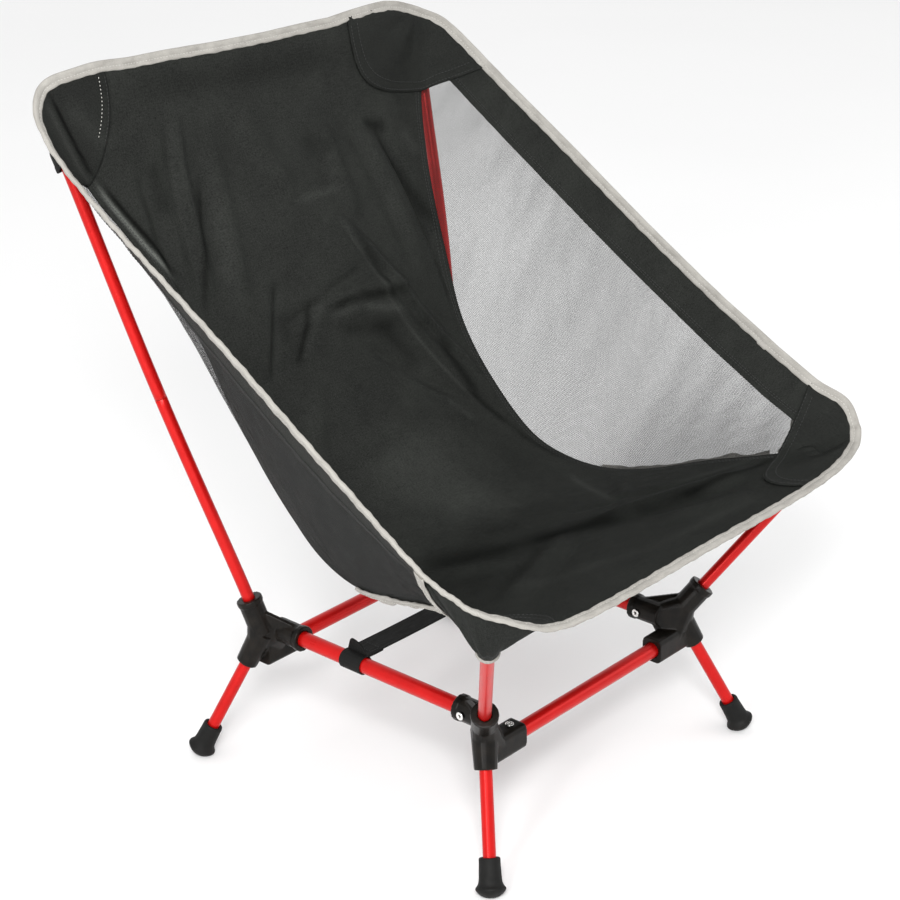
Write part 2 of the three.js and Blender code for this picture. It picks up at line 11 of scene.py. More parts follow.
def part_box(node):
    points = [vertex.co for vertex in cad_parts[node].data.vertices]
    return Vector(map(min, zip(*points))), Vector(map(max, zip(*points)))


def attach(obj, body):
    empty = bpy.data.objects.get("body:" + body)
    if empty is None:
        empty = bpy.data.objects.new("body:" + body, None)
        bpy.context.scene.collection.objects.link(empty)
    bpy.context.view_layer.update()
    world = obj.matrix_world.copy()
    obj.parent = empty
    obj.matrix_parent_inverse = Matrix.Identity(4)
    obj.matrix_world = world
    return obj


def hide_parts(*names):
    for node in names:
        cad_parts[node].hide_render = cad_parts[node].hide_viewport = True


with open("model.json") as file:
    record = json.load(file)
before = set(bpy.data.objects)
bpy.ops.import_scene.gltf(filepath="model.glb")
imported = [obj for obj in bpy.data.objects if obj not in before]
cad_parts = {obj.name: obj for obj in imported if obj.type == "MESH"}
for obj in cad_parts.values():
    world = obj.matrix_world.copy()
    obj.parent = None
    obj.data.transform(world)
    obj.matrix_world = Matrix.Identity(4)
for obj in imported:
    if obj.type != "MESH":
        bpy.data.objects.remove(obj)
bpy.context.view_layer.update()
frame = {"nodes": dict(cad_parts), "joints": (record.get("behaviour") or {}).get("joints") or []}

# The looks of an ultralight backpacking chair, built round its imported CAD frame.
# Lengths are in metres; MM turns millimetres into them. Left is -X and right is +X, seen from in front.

MM = 0.001
SEED = 7

CORNERS = ("front_left", "front_right", "back_left", "back_right")
AXES = {j["child"]: np.array(j["axis"], float) for j in frame["joints"]}


# ---------------------------------------------------------------- geometry kit

def unit(vectors):
    vectors = np.asarray(vectors, float)
    return vectors / np.maximum(np.linalg.norm(vectors, axis=-1, keepdims=True), 1e-12)


def smoothstep(x):
    x = np.clip(x, 0, 1)
    return x * x * (3 - 2 * x)


def distances(line):
    """How far along a line of points each one is."""
    return np.concatenate([[0], np.cumsum(np.linalg.norm(np.diff(line, axis=0), axis=1))])


def circle(count):
    """Even angles round a full turn."""
    return np.linspace(0, 2 * math.pi, count, endpoint=False)


def in_scene(name, data):
    """A new object with this data, linked to the scene."""
    obj = bpy.data.objects.new(name, data)
    bpy.context.scene.collection.objects.link(obj)
    return obj


def read_points(mesh):
    points = np.zeros(len(mesh.vertices) * 3, np.float32)
    mesh.vertices.foreach_get("co", points)
    return points.reshape(-1, 3)


def make(name, points, faces, uv=None, closed=True, smooth=True, tone=None):
    """A mesh object from points and a list of face arrays, each array holding faces of one size.

    Tone is a number for each point, read by the cloth's material as painted light and shade: above 0 is
    paler, below 0 is darker."""
    mesh = bpy.data.meshes.new(name)
    points = np.asarray(points, np.float32).reshape(-1, 3)
    faces = [np.asarray(f, np.int32) for f in faces if len(f)]
    sizes = np.concatenate([np.full(len(f), f.shape[1]) for f in faces])
    flat = np.concatenate([f.ravel() for f in faces])
    mesh.vertices.add(len(points))
    mesh.vertices.foreach_set("co", points.ravel())
    mesh.loops.add(len(flat))
    mesh.polygons.add(len(sizes))
    mesh.polygons.foreach_set("loop_start", np.concatenate([[0], np.cumsum(sizes)[:-1]]).astype(np.int32))
    mesh.polygons.foreach_set("vertices", flat)
    if uv is not None:
        layer = mesh.uv_layers.new(name="UVMap")
        layer.data.foreach_set("uv", np.asarray(uv, np.float32).reshape(-1, 2)[flat].ravel())
    if tone is not None:
        layer = mesh.uv_layers.new(name="tone")
        pair = np.stack([np.ravel(tone), np.zeros(np.size(tone))], -1).astype(np.float32)
        layer.data.foreach_set("uv", pair[flat].ravel())
        mesh.uv_layers.active = mesh.uv_layers["UVMap"]
    mesh.update(calc_edges=True)
    mesh.validate()
    if closed:
        work = bmesh.new()
        work.from_mesh(mesh)
        bmesh.ops.remove_doubles(work, verts=work.verts, dist=1e-6)
        bmesh.ops.recalc_face_normals(work, faces=work.faces)
        work.to_mesh(mesh)
        work.free()
    mesh.polygons.foreach_set("use_smooth", np.full(len(mesh.polygons), smooth))
    return in_scene(name, mesh)


def grid_faces(rows, cols, wrap_rows=False, wrap_cols=False, offset=0):
    i, j = np.meshgrid(np.arange(rows if wrap_rows else rows - 1),
                       np.arange(cols if wrap_cols else cols - 1), indexing="ij")
    down, right = (i + 1) % rows, (j + 1) % cols
    quads = np.stack([i * cols + j, i * cols + right, down * cols + right, down * cols + j], -1)
    return quads.reshape(-1, 4) + offset


def cloth(name, inner, outer, uv, tone=None):
    """A closed sheet between two grids of points."""
    rows, cols = inner.shape[:2]
    count = rows * cols
    border = np.concatenate([
        np.arange(cols),
        np.arange(1, rows) * cols + cols - 1,
        (rows - 1) * cols + np.arange(cols - 2, -1, -1),
        np.arange(rows - 2, 0, -1) * cols,
    ])
    after = np.roll(border, -1)
    rim = np.stack([border, after, after + count, border + count], -1)
    faces = [grid_faces(rows, cols), grid_faces(rows, cols, offset=count), rim]
    points = np.concatenate([inner.reshape(-1, 3), outer.reshape(-1, 3)])
    if tone is not None:
        tone = np.concatenate([tone.ravel()] * 2)
    return make(name, points, faces, np.concatenate([uv.reshape(-1, 2)] * 2), tone=tone)


def side_frame(direction):
    """Two unit vectors square to a direction."""
    helper = np.array([0, 0, 1.0]) if abs(direction[2]) < 0.9 else np.array([1.0, 0, 0])
    first = unit(np.cross(helper, direction))
    return first, np.cross(direction, first)


def lathe(name, start, direction, profile, sides=64):
    """A turned solid. Profile is [(radius, distance along)], from axis to axis or a closed ring."""
    start, direction = np.asarray(start, float), unit(direction)
    first, second = side_frame(direction)
    profile = np.asarray(profile, float)
    hollow = np.allclose(profile[0], profile[-1])
    if hollow:
        profile = profile[:-1]
    angle = circle(sides)
    around = np.cos(angle)[:, None] * first + np.sin(angle)[:, None] * second
    points = start + profile[None, :, 1, None] * direction + profile[None, :, 0, None] * around[:, None, :]
    width = np.broadcast_to(angle[:, None] * profile[:, 0].max(), points.shape[:2])
    uv = np.stack([width, np.broadcast_to(distances(profile), points.shape[:2])], -1)
    faces = grid_faces(sides, len(profile), wrap_rows=True, wrap_cols=hollow)
    return make(name, points, [faces], uv)


def sweep(name, centres, across, lift, section, closed):
    """A solid swept along points. Section is (k, 2) or (n, k, 2) in the across and lift directions."""
    count = len(centres)
    section = np.broadcast_to(section, (count,) + np.shape(section)[-2:])
    sides = section.shape[1]
    points = centres[:, None] + section[..., 0, None] * across[:, None]
    points = points + section[..., 1, None] * lift[:, None]
    uv = np.stack(np.broadcast_arrays(distances(centres)[:, None], distances(section[0])[None, :]), -1)
    faces = [grid_faces(count, sides, wrap_rows=closed, wrap_cols=True)]
    if not closed:
        faces.append(np.stack([np.arange(sides), (count - 1) * sides + np.arange(sides)[::-1]]))
    return make(name, points, faces, uv)


def resample(line, spacing, *others):
    """The line and what goes with it, at even spacing along it."""
    walk = distances(line)
    at = np.linspace(0, walk[-1], max(2, int(round(walk[-1] / spacing)) + 1))
    return [np.stack([np.interp(at, walk, part[:, k]) for k in range(part.shape[1])], -1)
            for part in (line, *others)]


def stitches(name, lines, material, pitch=3.4 * MM, length=2.5 * MM, radius=0.3 * MM, body="sling"):
    """Raised thread stitches, their ends sunk in the cloth, along lines of (points, surface normals)."""
    rings, sides = 5, 6
    fine = pitch / 8
    points, count = [], 0
    for line, normal in lines:
        line, normal = resample(line, fine, line * 0 + unit(normal))
        walk = np.arange(len(line)) * fine
        centres = np.arange(pitch / 2, walk[-1] - pitch / 2, pitch)
        if not len(centres):
            continue
        step = np.linspace(-1, 1, rings)
        at = centres[:, None] + step * length / 2
        spot = np.stack([np.interp(at, walk, line[:, k]) for k in range(3)], -1)
        up = unit(np.stack([np.interp(at, walk, normal[:, k]) for k in range(3)], -1))
        ahead = unit(spot[:, -1:] - spot[:, :1])
        across = unit(np.cross(up, ahead))
        high = radius * (0.7 - 1.3 * step ** 4)
        wide = radius * np.sqrt(1.02 - step ** 2)
        angle = circle(sides)
        ring = np.cos(angle)[:, None] * across[:, :, None] + np.sin(angle)[:, None] * up[:, :, None]
        centre = spot + high[:, None] * up
        points.append((centre[:, :, None] + wide[:, None, None] * ring).reshape(-1, 3))
        count += len(centres)
    one = grid_faces(rings, sides, wrap_cols=True)
    offsets = np.arange(count) * rings * sides
    tubes = (one[None] + offsets[:, None, None]).reshape(-1, 4)
    ends = np.concatenate([np.arange(sides)[None] + offsets[:, None],
                           (rings - 1) * sides + np.arange(sides)[None, ::-1] + offsets[:, None]])
    made = make(name, np.concatenate(points), [tubes, ends], closed=False)
    return dress(made, material, body)


def dress(obj, material, body, slot=None, *replaced):
    """Gives a piece its material and its body, and hides the CAD nodes it stands for. The slot argument is
    not used.
    """
    obj.data.materials.clear()
    obj.data.materials.append(material)
    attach(obj, body)
    if replaced:
        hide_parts(*replaced)
    return obj


# ---------------------------------------------------------------- materials

class Shader:
    """A small wrapper that builds one node material."""

    def __init__(self, name):
        self.material = bpy.data.materials.new(name)
        self.material.use_nodes = True
        self.tree = self.material.node_tree
        self.bsdf = self.tree.nodes["Principled BSDF"]
        self.heights = []

    def node(self, kind, inputs=(), **settings):
        made = self.tree.nodes.new(kind)
        for key, value in settings.items():
            setattr(made, key, value)
        for key, value in dict(inputs).items():
            self.feed(made.inputs[key], value)
        return made

    def feed(self, socket, value):
        if isinstance(value, bpy.types.NodeSocket):
            self.tree.links.new(value, socket)
        else:
            socket.default_value = value

    def math(self, operation, a, b=0.0, c=0.0):
        return self.node("ShaderNodeMath", {0: a, 1: b, 2: c}, operation=operation).outputs[0]

    def place(self, source, scale):
        """Coordinates in metres, times a scale for each axis."""
        coordinates = self.node("ShaderNodeTexCoord").outputs[source]
        return self.node("ShaderNodeVectorMath", {0: coordinates, 1: scale}, operation="MULTIPLY").outputs[0]

    def split(self, vector):
        return self.node("ShaderNodeSeparateXYZ", {0: vector}).outputs

    def noise(self, source, scale, detail=3.0, roughness=0.55):
        vector = self.place(source, scale)
        return self.node("ShaderNodeTexNoise", {"Vector": vector, "Scale": 1.0, "Detail": detail,
                                                "Roughness": roughness}).outputs["Fac"]

    def spread(self, value, low, high, out_low, out_high):
        return self.node("ShaderNodeMapRange", {"Value": value, "From Min": low, "From Max": high,
                                                "To Min": out_low, "To Max": out_high}).outputs[0]

    def mix(self, factor, a, b):
        made = self.node("ShaderNodeMix", {0: factor}, data_type="RGBA", clamp_factor=False)
        self.feed(made.inputs[6], a)
        self.feed(made.inputs[7], b)
        return made.outputs[2]

    def bump(self, height, distance, strength=1.0):
        made = self.node("ShaderNodeBump", {"Height": height, "Distance": distance, "Strength": strength})
        if self.heights:
            self.feed(made.inputs["Normal"], self.heights[-1])
        self.heights.append(made.outputs[0])

    def done(self, **values):
        for key, value in values.items():
            self.feed(self.bsdf.inputs[key.replace("_", " ")], value)
        if self.heights:
            self.feed(self.bsdf.inputs["Normal"], self.heights[-1])
        return self.material


def rgba(red, green, blue):
    return (red, green, blue, 1.0)


def anodised_material():
    s = Shader("anodised_red")
    tone = s.noise("Object", (60, 60, 60), 4)
    streak = s.noise("UV", (2600, 14, 1), 2)
    colour = s.mix(s.spread(tone, 0.3, 0.7, 0, 1), rgba(0.47, 0.003, 0.0025), rgba(0.55, 0.005, 0.004))
    s.bump(streak, 0.004 * MM)
    rough = s.spread(s.math("ADD", s.math("MULTIPLY", streak, 0.5), s.math("MULTIPLY", tone, 0.5)),
                     0.3, 0.7, 0.26, 0.38)
    return s.done(Base_Color=colour, Metallic=0.38, Roughness=rough, Coat_Weight=0.04, Coat_Roughness=0.15,
                  Specular_IOR_Level=0.3)


def nylon_material(name, light, dark, grain):
    s = Shader(name)
    tone = s.noise("Object", (90, 90, 90), 4)
    fine = s.noise("Object", (grain, grain, grain), 2)
    pits = s.node("ShaderNodeTexVoronoi", {"Vector": s.place("Object", (grain * 0.6,) * 3), "Scale": 1.0})
    s.bump(fine, 0.05 * MM, 0.7)
    s.bump(pits.outputs["Distance"], 0.03 * MM, 0.5)
    colour = s.mix(s.spread(tone, 0.35, 0.65, 0, 1), dark, light)
    return s.done(Base_Color=colour, Roughness=s.spread(fine, 0.3, 0.7, 0.26, 0.42), Specular_IOR_Level=0.15)


def rubber_material():
    s = Shader("foot_rubber")
    tone = s.noise("Object", (120, 120, 120), 5)
    fine = s.noise("Object", (2200, 2200, 2200), 2)
    height = s.split(s.place("Object", (1, 1, 1)))[2]
    dust = s.math("MULTIPLY", s.spread(height, 0.0, 0.012, 0.5, 0.0), tone)
    colour = s.mix(dust, rgba(0.005, 0.005, 0.0046), rgba(0.030, 0.028, 0.025))
    s.bump(fine, 0.06 * MM, 0.8)
    s.bump(tone, 0.15 * MM, 0.4)
    return s.done(Base_Color=colour, Roughness=s.spread(tone, 0.3, 0.7, 0.55, 0.75), Specular_IOR_Level=0.2)


def metal_material(name, colour, low, high):
    s = Shader(name)
    streak = s.noise("UV", (900, 30, 1), 3)
    tone = s.noise("Object", (700, 700, 700), 3)
    s.bump(streak, 0.006 * MM)
    rough = s.spread(s.math("MULTIPLY", s.math("ADD", streak, tone), 0.5), 0.3, 0.7, low, high)
    return s.done(Base_Color=colour, Metallic=1.0, Roughness=rough)


def weave_height(s, source, pitch):
    """Plain weave: over and under threads at a pitch in metres, and which way the top thread runs."""
    scaled = s.place(source, (1 / pitch, 1 / pitch, 1 / pitch))
    x, y, _ = s.split(scaled)
    checker = s.node("ShaderNodeTexChecker", {"Vector": scaled, "Scale": 1.0}).outputs["Fac"]
    warp = s.math("ABSOLUTE", s.math("SINE", s.math("MULTIPLY", x, math.pi)))
    weft = s.math("ABSOLUTE", s.math("SINE", s.math("MULTIPLY", y, math.pi)))
    picked = s.math("ADD", s.math("MULTIPLY", warp, checker),
                    s.math("MULTIPLY", weft, s.math("SUBTRACT", 1.0, checker)))
    return picked, checker


def fabric_material(name, dark, light, pitch=0.75 * MM, depth=0.09 * MM):
    s = Shader(name)
    height, checker = weave_height(s, "UV", pitch)
    slub = s.noise("UV", (90, 900, 1), 3)
    slub_across = s.noise("UV", (900, 90, 1), 3)
    cloud = s.noise("UV", (16, 16, 1), 5, 0.65)
    speck = s.noise("UV", (650, 650, 1), 2, 0.6)
    amount = s.math("MULTIPLY", height, 0.42)
    for part, weight in ((slub, 0.35), (slub_across, 0.35), (checker, 0.10), (cloud, 0.55), (speck, 0.85)):
        amount = s.math("ADD", amount, s.math("MULTIPLY", part, weight))
    # The tone layer is painted light and shade: it makes the cloth paler or darker and scales its specular; a
    # piece without it is unchanged.
    tone = s.split(s.node("ShaderNodeUVMap", uv_map="tone").outputs[0])[0]
    painted_light_factor = s.math("MAXIMUM", s.math("ADD", tone, 1.0), 0.05)  # a piece with no tone layer has tone 0
    colour = s.mix(s.math("MULTIPLY", s.spread(amount, 0.98, 1.72, 0, 1), painted_light_factor), dark, light)
    s.bump(height, depth, 0.9)
    s.bump(s.noise("UV", (170, 170, 1), 4), 0.12 * MM, 0.6)
    return s.done(Base_Color=colour, Roughness=s.spread(cloud, 0.3, 0.7, 0.55, 0.70),
                  Specular_IOR_Level=s.math("MULTIPLY", painted_light_factor, 0.09))


def mesh_material():
    """Open knitted mesh: staggered holes with thread between them, cut out by alpha."""
    s = Shader("side_mesh_knit")
    pitch, thread = 1.25 * MM, 0.165 * MM
    vector = s.place("UV", (1 / pitch, 1 / pitch, 1))
    brick = s.node("ShaderNodeTexBrick", {
        "Vector": vector, "Scale": 1.0, "Mortar Size": thread / pitch, "Mortar Smooth": 0.25,
        "Brick Width": 1.0, "Row Height": 1.0})
    brick.offset = 0.5
    solid = s.math("GREATER_THAN", brick.outputs["Fac"], 0.35)
    tone = s.noise("UV", (40, 40, 1), 3)
    s.bump(brick.outputs["Fac"], 0.12 * MM)
    colour = s.mix(tone, rgba(0.013, 0.0135, 0.013), rgba(0.028, 0.029, 0.028))
    return s.done(Base_Color=colour, Roughness=s.spread(tone, 0.3, 0.7, 0.65, 0.8), Alpha=solid,
                  Specular_IOR_Level=0.2)


def tape_material():
    """Ribbed grosgrain tape: ribs run across the tape."""
    s = Shader("binding_tape")
    x = s.split(s.place("UV", (1 / (0.95 * MM), 1, 1)))[0]
    rib = s.math("ABSOLUTE", s.math("SINE", s.math("MULTIPLY", x, math.pi)))
    soil = s.noise("UV", (45, 120, 1), 4, 0.65)
    grain = s.noise("UV", (1500, 1500, 1), 2)
    amount = s.math("ADD", s.math("MULTIPLY", rib, 0.50), s.math("MULTIPLY", soil, 0.70))
    colour = s.mix(s.spread(amount, 0.30, 0.85, 0, 1), rgba(0.15, 0.14, 0.125), rgba(0.40, 0.385, 0.355))
    s.bump(rib, 0.10 * MM, 0.8)
    s.bump(grain, 0.05 * MM, 0.6)
    return s.done(Base_Color=colour, Roughness=s.spread(soil, 0.3, 0.7, 0.72, 0.88), Specular_IOR_Level=0.3)


def webbing_material():
    s = Shader("strap_webbing")
    x, y, _ = s.split(s.place("UV", (1 / (1.6 * MM), 1 / (1.1 * MM), 1)))
    zigzag = s.math("PINGPONG", x, 1.0)
    ridge = s.math("ABSOLUTE", s.math("SINE", s.math("MULTIPLY", s.math("ADD", y, zigzag), math.pi)))
    tone = s.noise("UV", (60, 400, 1), 3)
    colour = s.mix(s.math("MULTIPLY", ridge, tone), rgba(0.003, 0.003, 0.003), rgba(0.016, 0.016, 0.015))
    s.bump(ridge, 0.18 * MM)
    return s.done(Base_Color=colour, Roughness=s.spread(tone, 0.3, 0.7, 0.6, 0.8), Specular_IOR_Level=0.15)


def thread_material(name, dark, light):
    s = Shader(name)
    twist = s.node("ShaderNodeTexWave", {"Vector": s.place("Object", (1, 1, 1)), "Scale": 900.0,
                                         "Distortion": 2.0})
    s.bump(twist.outputs["Fac"], 0.05 * MM)
    return s.done(Base_Color=s.mix(twist.outputs["Fac"], dark, light),
                  Roughness=s.spread(twist.outputs["Fac"], 0, 1, 0.55, 0.75))


def cord_material():
    s = Shader("braided_cord")
    x, y, _ = s.split(s.place("UV", (1 / (1.1 * MM), 1 / (1.1 * MM), 1)))
    one = s.math("SINE", s.math("MULTIPLY", s.math("ADD", x, y), math.pi))
    two = s.math("SINE", s.math("MULTIPLY", s.math("SUBTRACT", x, y), math.pi))
    braid = s.math("ABSOLUTE", s.math("MULTIPLY", one, two))
    s.bump(braid, 0.12 * MM)
    return s.done(Base_Color=s.mix(braid, rgba(0.006, 0.006, 0.006), rgba(0.045, 0.045, 0.043)),
                  Roughness=s.spread(braid, 0, 1, 0.9, 0.7))


RED = anodised_material()
NYLON = nylon_material("hub_nylon", rgba(0.010, 0.008, 0.0062), rgba(0.004, 0.0034, 0.0028), 1600)
CAP_NYLON = nylon_material("cap_nylon", rgba(0.016, 0.016, 0.016), rgba(0.010, 0.010, 0.010), 2500)
RUBBER = rubber_material()
STEEL = metal_material("rivet_steel", rgba(0.80, 0.79, 0.77), 0.18, 0.34)
ALUMINIUM = metal_material("bare_aluminium", rgba(0.72, 0.73, 0.75), 0.30, 0.48)
FABRIC = fabric_material("sling_fabric", rgba(0.0015, 0.0017, 0.0015), rgba(0.030, 0.032, 0.0285))
PATCH = fabric_material("patch_fabric", rgba(0.0015, 0.0017, 0.0015), rgba(0.022, 0.0235, 0.021), 0.95 * MM)
MESH = mesh_material()
TAPE = tape_material()
WEBBING = webbing_material()
CORD = cord_material()
DARK_THREAD = thread_material("dark_thread", rgba(0.008, 0.008, 0.008), rgba(0.03, 0.03, 0.03))
PALE_THREAD = thread_material("pale_thread", rgba(0.40, 0.39, 0.36), rgba(0.62, 0.61, 0.57))


# ---------------------------------------------------------------- tubes, rivets, caps and feet

def axis_of(node, direction):
    """The point where a turned CAD node starts on its axis, and its length and outer radius."""
    low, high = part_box(node)
    middle = np.array((low + high) / 2)
    offset = read_points(frame["nodes"][node].data).astype(float) - middle
    along = offset @ direction
    radius = np.linalg.norm(offset - along[:, None] * direction, axis=1).max()
    return middle + along.min() * direction, along.max() - along.min(), radius


# How far the middle of a long back upright bows outwards, pulled in at its tip by the sling.
BOW = {"back_left": -4 * MM, "back_right": 12 * MM}
BOW_FROM, BOW_TO = 36 * MM, 474 * MM  # distances along the upright from the hub's junction
BOW_OFFSET = 8 * MM  # from the junction to the near end of the upright's lower tube


def bow_out(obj, corner):
    """Bends a piece of a back upright to the upright's bow."""
    direction = AXES[f"upright_{corner}_lower"]
    start = axis_of(f"upright_{corner}_lower", direction)[0] - BOW_OFFSET * direction
    points = read_points(obj.data)
    share = np.clip(((points - start) @ direction - BOW_FROM) / (BOW_TO - BOW_FROM), 0, 1)
    points[:, 0] += BOW[corner] * np.sin(math.pi * share) ** 1.5
    obj.data.vertices.foreach_set("co", points.ravel())
    obj.data.update()


def round_tube(name, node, direction, body, slot, material, wall, chamfer=0.25 * MM):
    """A tube in place of a turned CAD node; its outside has many rings, so that it can bend."""
    start, length, radius = axis_of(node, direction)
    inner, rings = radius - wall, 24
    profile = [(inner, 0), (inner + chamfer, 0), (radius - chamfer, 0), (radius, chamfer)]
    profile += [(radius, chamfer + (length - 2 * chamfer) * k / rings) for k in range(1, rings + 1)]
    profile += [(radius - chamfer, length), (inner + chamfer, length)]
    profile += [(inner, length - chamfer), (inner, chamfer)]
    profile.append(profile[0])
    return dress(lathe(name, start, direction, profile), material, body, slot, node)


def red_tube(node, direction, body, wall):
    return round_tube(f"tube_{node}", node, direction, body, "anodised_tube", RED, wall)


def build_tubes():
    bar_wall, pole_wall, ferrule_wall = 1.0 * MM, 0.9 * MM, 0.8 * MM
    for direction, sides in (((1.0, 0, 0), ("front", "back")), ((0, 1.0, 0), ("left", "right"))):
        for side in sides:
            red_tube(f"bar_{side}", np.array(direction), "frame", bar_wall)
    for corner in CORNERS:
        leg, pole = f"leg_{corner}", f"upright_{corner}"
        red_tube(leg, AXES[leg], leg, pole_wall)
        if corner.startswith("front"):
            red_tube(pole, AXES[pole], pole, pole_wall)
            continue
        lower, upper = pole + "_lower", pole + "_upper"
        for node in (lower, upper):
            bow_out(red_tube(node, AXES[node], node, pole_wall), corner)
        sleeve = round_tube(f"sleeve_{corner}", f"ferrule_{corner}", AXES[lower], lower, "bare_aluminium",
                            ALUMINIUM, ferrule_wall)
        bow_out(sleeve, corner)


def tip_body(corner):
    return f"upright_{corner}" if corner.startswith("front") else f"upright_{corner}_upper"


def name_of(side):
    return "left" if side < 0 else "right"


def build_tip_caps():
    for corner in CORNERS:
        body = tip_body(corner)
        direction = AXES[body]
        start, length, radius = axis_of(f"tip_cap_{corner}", direction)
        stem, skirt, dome = 4.4 * MM, 2.8 * MM, 4.2 * MM
        head = length - skirt - dome
        profile = [(0, 0), (stem - 0.6 * MM, 0), (stem, 0.8 * MM), (stem, head), (radius - 0.3 * MM, head),
                   (radius, head + 0.3 * MM), (radius, head + skirt)]
        for k in range(1, 9):
            turn = math.pi / 2 * k / 8
            profile.append((radius * math.cos(turn), head + skirt + dome * math.sin(turn)))
        cap = lathe(f"plug_{corner}", start, direction, profile, 48)
        dress(cap, CAP_NYLON, body, "cap_nylon", f"tip_cap_{corner}")


def build_rivets():
    for name in ("front", "back", "left", "right"):
        direction = np.array([0, 0, 1.0] if name in ("front", "back") else [1.0, 0, 0])
        start, length, _ = axis_of(f"rivet_{name}", direction)
        shank, bore, head, rise = 2.3 * MM, 1.25 * MM, 3.9 * MM, 0.9 * MM
        end = []
        for k in range(9):
            turn = math.pi * k / 8
            middle, half = (head + bore) / 2, (head - bore) / 2
            end.append((middle + half * math.cos(turn), rise * math.sin(turn) ** 0.7))
        outer = [(r, length - rise + h) for r, h in end]
        inner = [(r, rise - h) for r, h in reversed(end)]
        profile = [(shank, rise), (shank, length - rise), *outer, (bore, length - rise), (bore, rise), *inner]
        profile.append(profile[0])
        dress(lathe(f"hollow_rivet_{name}", start, direction, profile, 40), STEEL, "frame", "rivet_steel",
              f"rivet_{name}")


def smooth_profile(points, steps=6):
    """Rounds a turned profile's corners by running a curve through it."""
    curve = catmull(np.array([(r, a, 0) for r, a in points]), False, len(points) * steps)
    return [(max(r, 0.0), a) for r, a, _ in curve]


# A foot's outside in millimetres: radius, and height along the leg, from the sole to the lip.
FOOT_OUTSIDE = [(0, -0.2), (4, 0.3), (8, 1.8), (11, 4.2), (12.6, 6.2), (13.2, 7.6), (12.7, 8.9),
                (11.6, 10.3), (10.5, 12.6), (9.9, 16), (9.6, 22), (9.3, 29), (9.2, 32.6), (8.7, 33.7),
                (7.7, 34.0), (6.7, 33.7)]


def build_feet():
    """Rubber feet on the legs, cut flat where they stand on the floor."""
    for corner in CORNERS:
        leg = f"leg_{corner}"
        down = AXES[leg]
        start, length, radius = axis_of(leg, down)
        ground = start + down * (start[2] / -down[2])
        bore, sole = radius + 0.35 * MM, 7 * MM
        outside = [(r * MM, a * MM) for r, a in FOOT_OUTSIDE]
        profile = smooth_profile([*outside, (bore, 32.8 * MM)])
        profile += [(bore, 20 * MM), (bore, sole), (0, sole)]
        boot = lathe(f"boot_{corner}", ground, -down, profile, 80)
        points = read_points(boot.data)
        points[:, 2] = np.maximum(points[:, 2], 0)
        boot.data.vertices.foreach_set("co", points.ravel())
        dress(boot, RUBBER, leg, "foot_rubber", f"foot_{corner}")


# ---------------------------------------------------------------- hubs

def moulded(node, name, voxel=0.75 * MM, rounds=5):
    """A CAD hub with its edges and inside corners rounded, as moulded."""
    source = frame["nodes"][node]
    work = in_scene(name + "_work", source.data.copy())
    remesh = work.modifiers.new("remesh", "REMESH")
    remesh.mode = "VOXEL"
    remesh.voxel_size = voxel
    smooth = work.modifiers.new("smooth", "SMOOTH")
    smooth.factor = 0.5
    smooth.iterations = rounds
    bpy.context.view_layer.update()
    evaluated = work.evaluated_get(bpy.context.evaluated_depsgraph_get())
    mesh = bpy.data.meshes.new_from_object(evaluated)
    bpy.data.objects.remove(work)
    mesh.name = name
    mesh.polygons.foreach_set("use_smooth", np.full(len(mesh.polygons), True))
    return in_scene(name, mesh)


def build_hubs():
    for corner in CORNERS:
        hub = moulded(f"hub_{corner}", f"moulded_hub_{corner}")
        dress(hub, NYLON, "frame", "hub_nylon", f"hub_{corner}")


def build_shock_cords():
    """A cord in each hub, from the leg round a small bend into the upright."""
    reach, bend, radius = 58 * MM, 4 * MM, 1.4 * MM
    for corner in CORNERS:
        leg = f"leg_{corner}"
        pole = f"upright_{corner}" if corner.startswith("front") else f"upright_{corner}_lower"
        down, up = AXES[leg], AXES[pole]
        a, b = axis_of(leg, down)[0], axis_of(pole, up)[0]
        square = np.cross(down, up)
        reach_down = np.dot(np.cross(b - a, up), square) / np.dot(square, square)
        centre = a + reach_down * down
        t = np.linspace(0, 1, 9)[:, None]
        curve = (1 - t) ** 2 * bend * down + t ** 2 * bend * up
        lower = np.linspace(reach, bend, 60)[:-1, None] * down
        upper = np.linspace(bend, reach, 60)[1:, None] * up
        line = centre + np.concatenate([lower, curve, upper])
        tangent = unit(np.gradient(line, axis=0))
        across = unit(np.cross(tangent, square))
        angle = circle(16)
        section = radius * np.stack([np.cos(angle), np.sin(angle)], -1)
        cord = sweep(f"elastic_{corner}", line, across, np.cross(tangent, across), section, False)
        dress(cord, CORD, "frame", "shock_cord", f"shock_cord_{corner}")


# ---------------------------------------------------------------- strap

def webbing_section(width, thick):
    """A flat strip with its corners cut off, and points along its faces."""
    half_w, half_t, cut = width / 2, thick / 2, 0.35 * MM
    face = np.linspace(-half_w + 2 * cut, half_w - 2 * cut, 7)
    lower = [(-half_w, -half_t + cut), (-half_w + cut, -half_t), *[(x, -half_t) for x in face],
             (half_w - cut, -half_t), (half_w, -half_t + cut)]
    return np.array(lower + [(-x, -y) for x, y in lower])


def build_strap_tail(foot, section):
    """The strap's pointed free end, which stands up off the left loop and leans outwards."""
    tall, lean = 15 * MM, 5 * MM
    t = np.linspace(0, 1, 16)[:, None]
    line = foot + t * np.array([-1.0, 0, 0]) * lean * t + t * np.array([0, 0, 1.0]) * tall
    across = np.broadcast_to(np.array([0, 1.0, 0]), line.shape)
    lift = unit(np.cross(unit(np.gradient(line, axis=0)), across))
    narrow = np.sqrt(np.clip(1 - t, 0.0025, 1))[:, :, None]
    tapered = section[None] * np.concatenate([narrow * 0.92, np.ones_like(narrow)], -1)
    tail = sweep("webbing_tail", line, across, lift, tapered, False)
    return dress(tail, WEBBING, "frame", "strap_webbing")


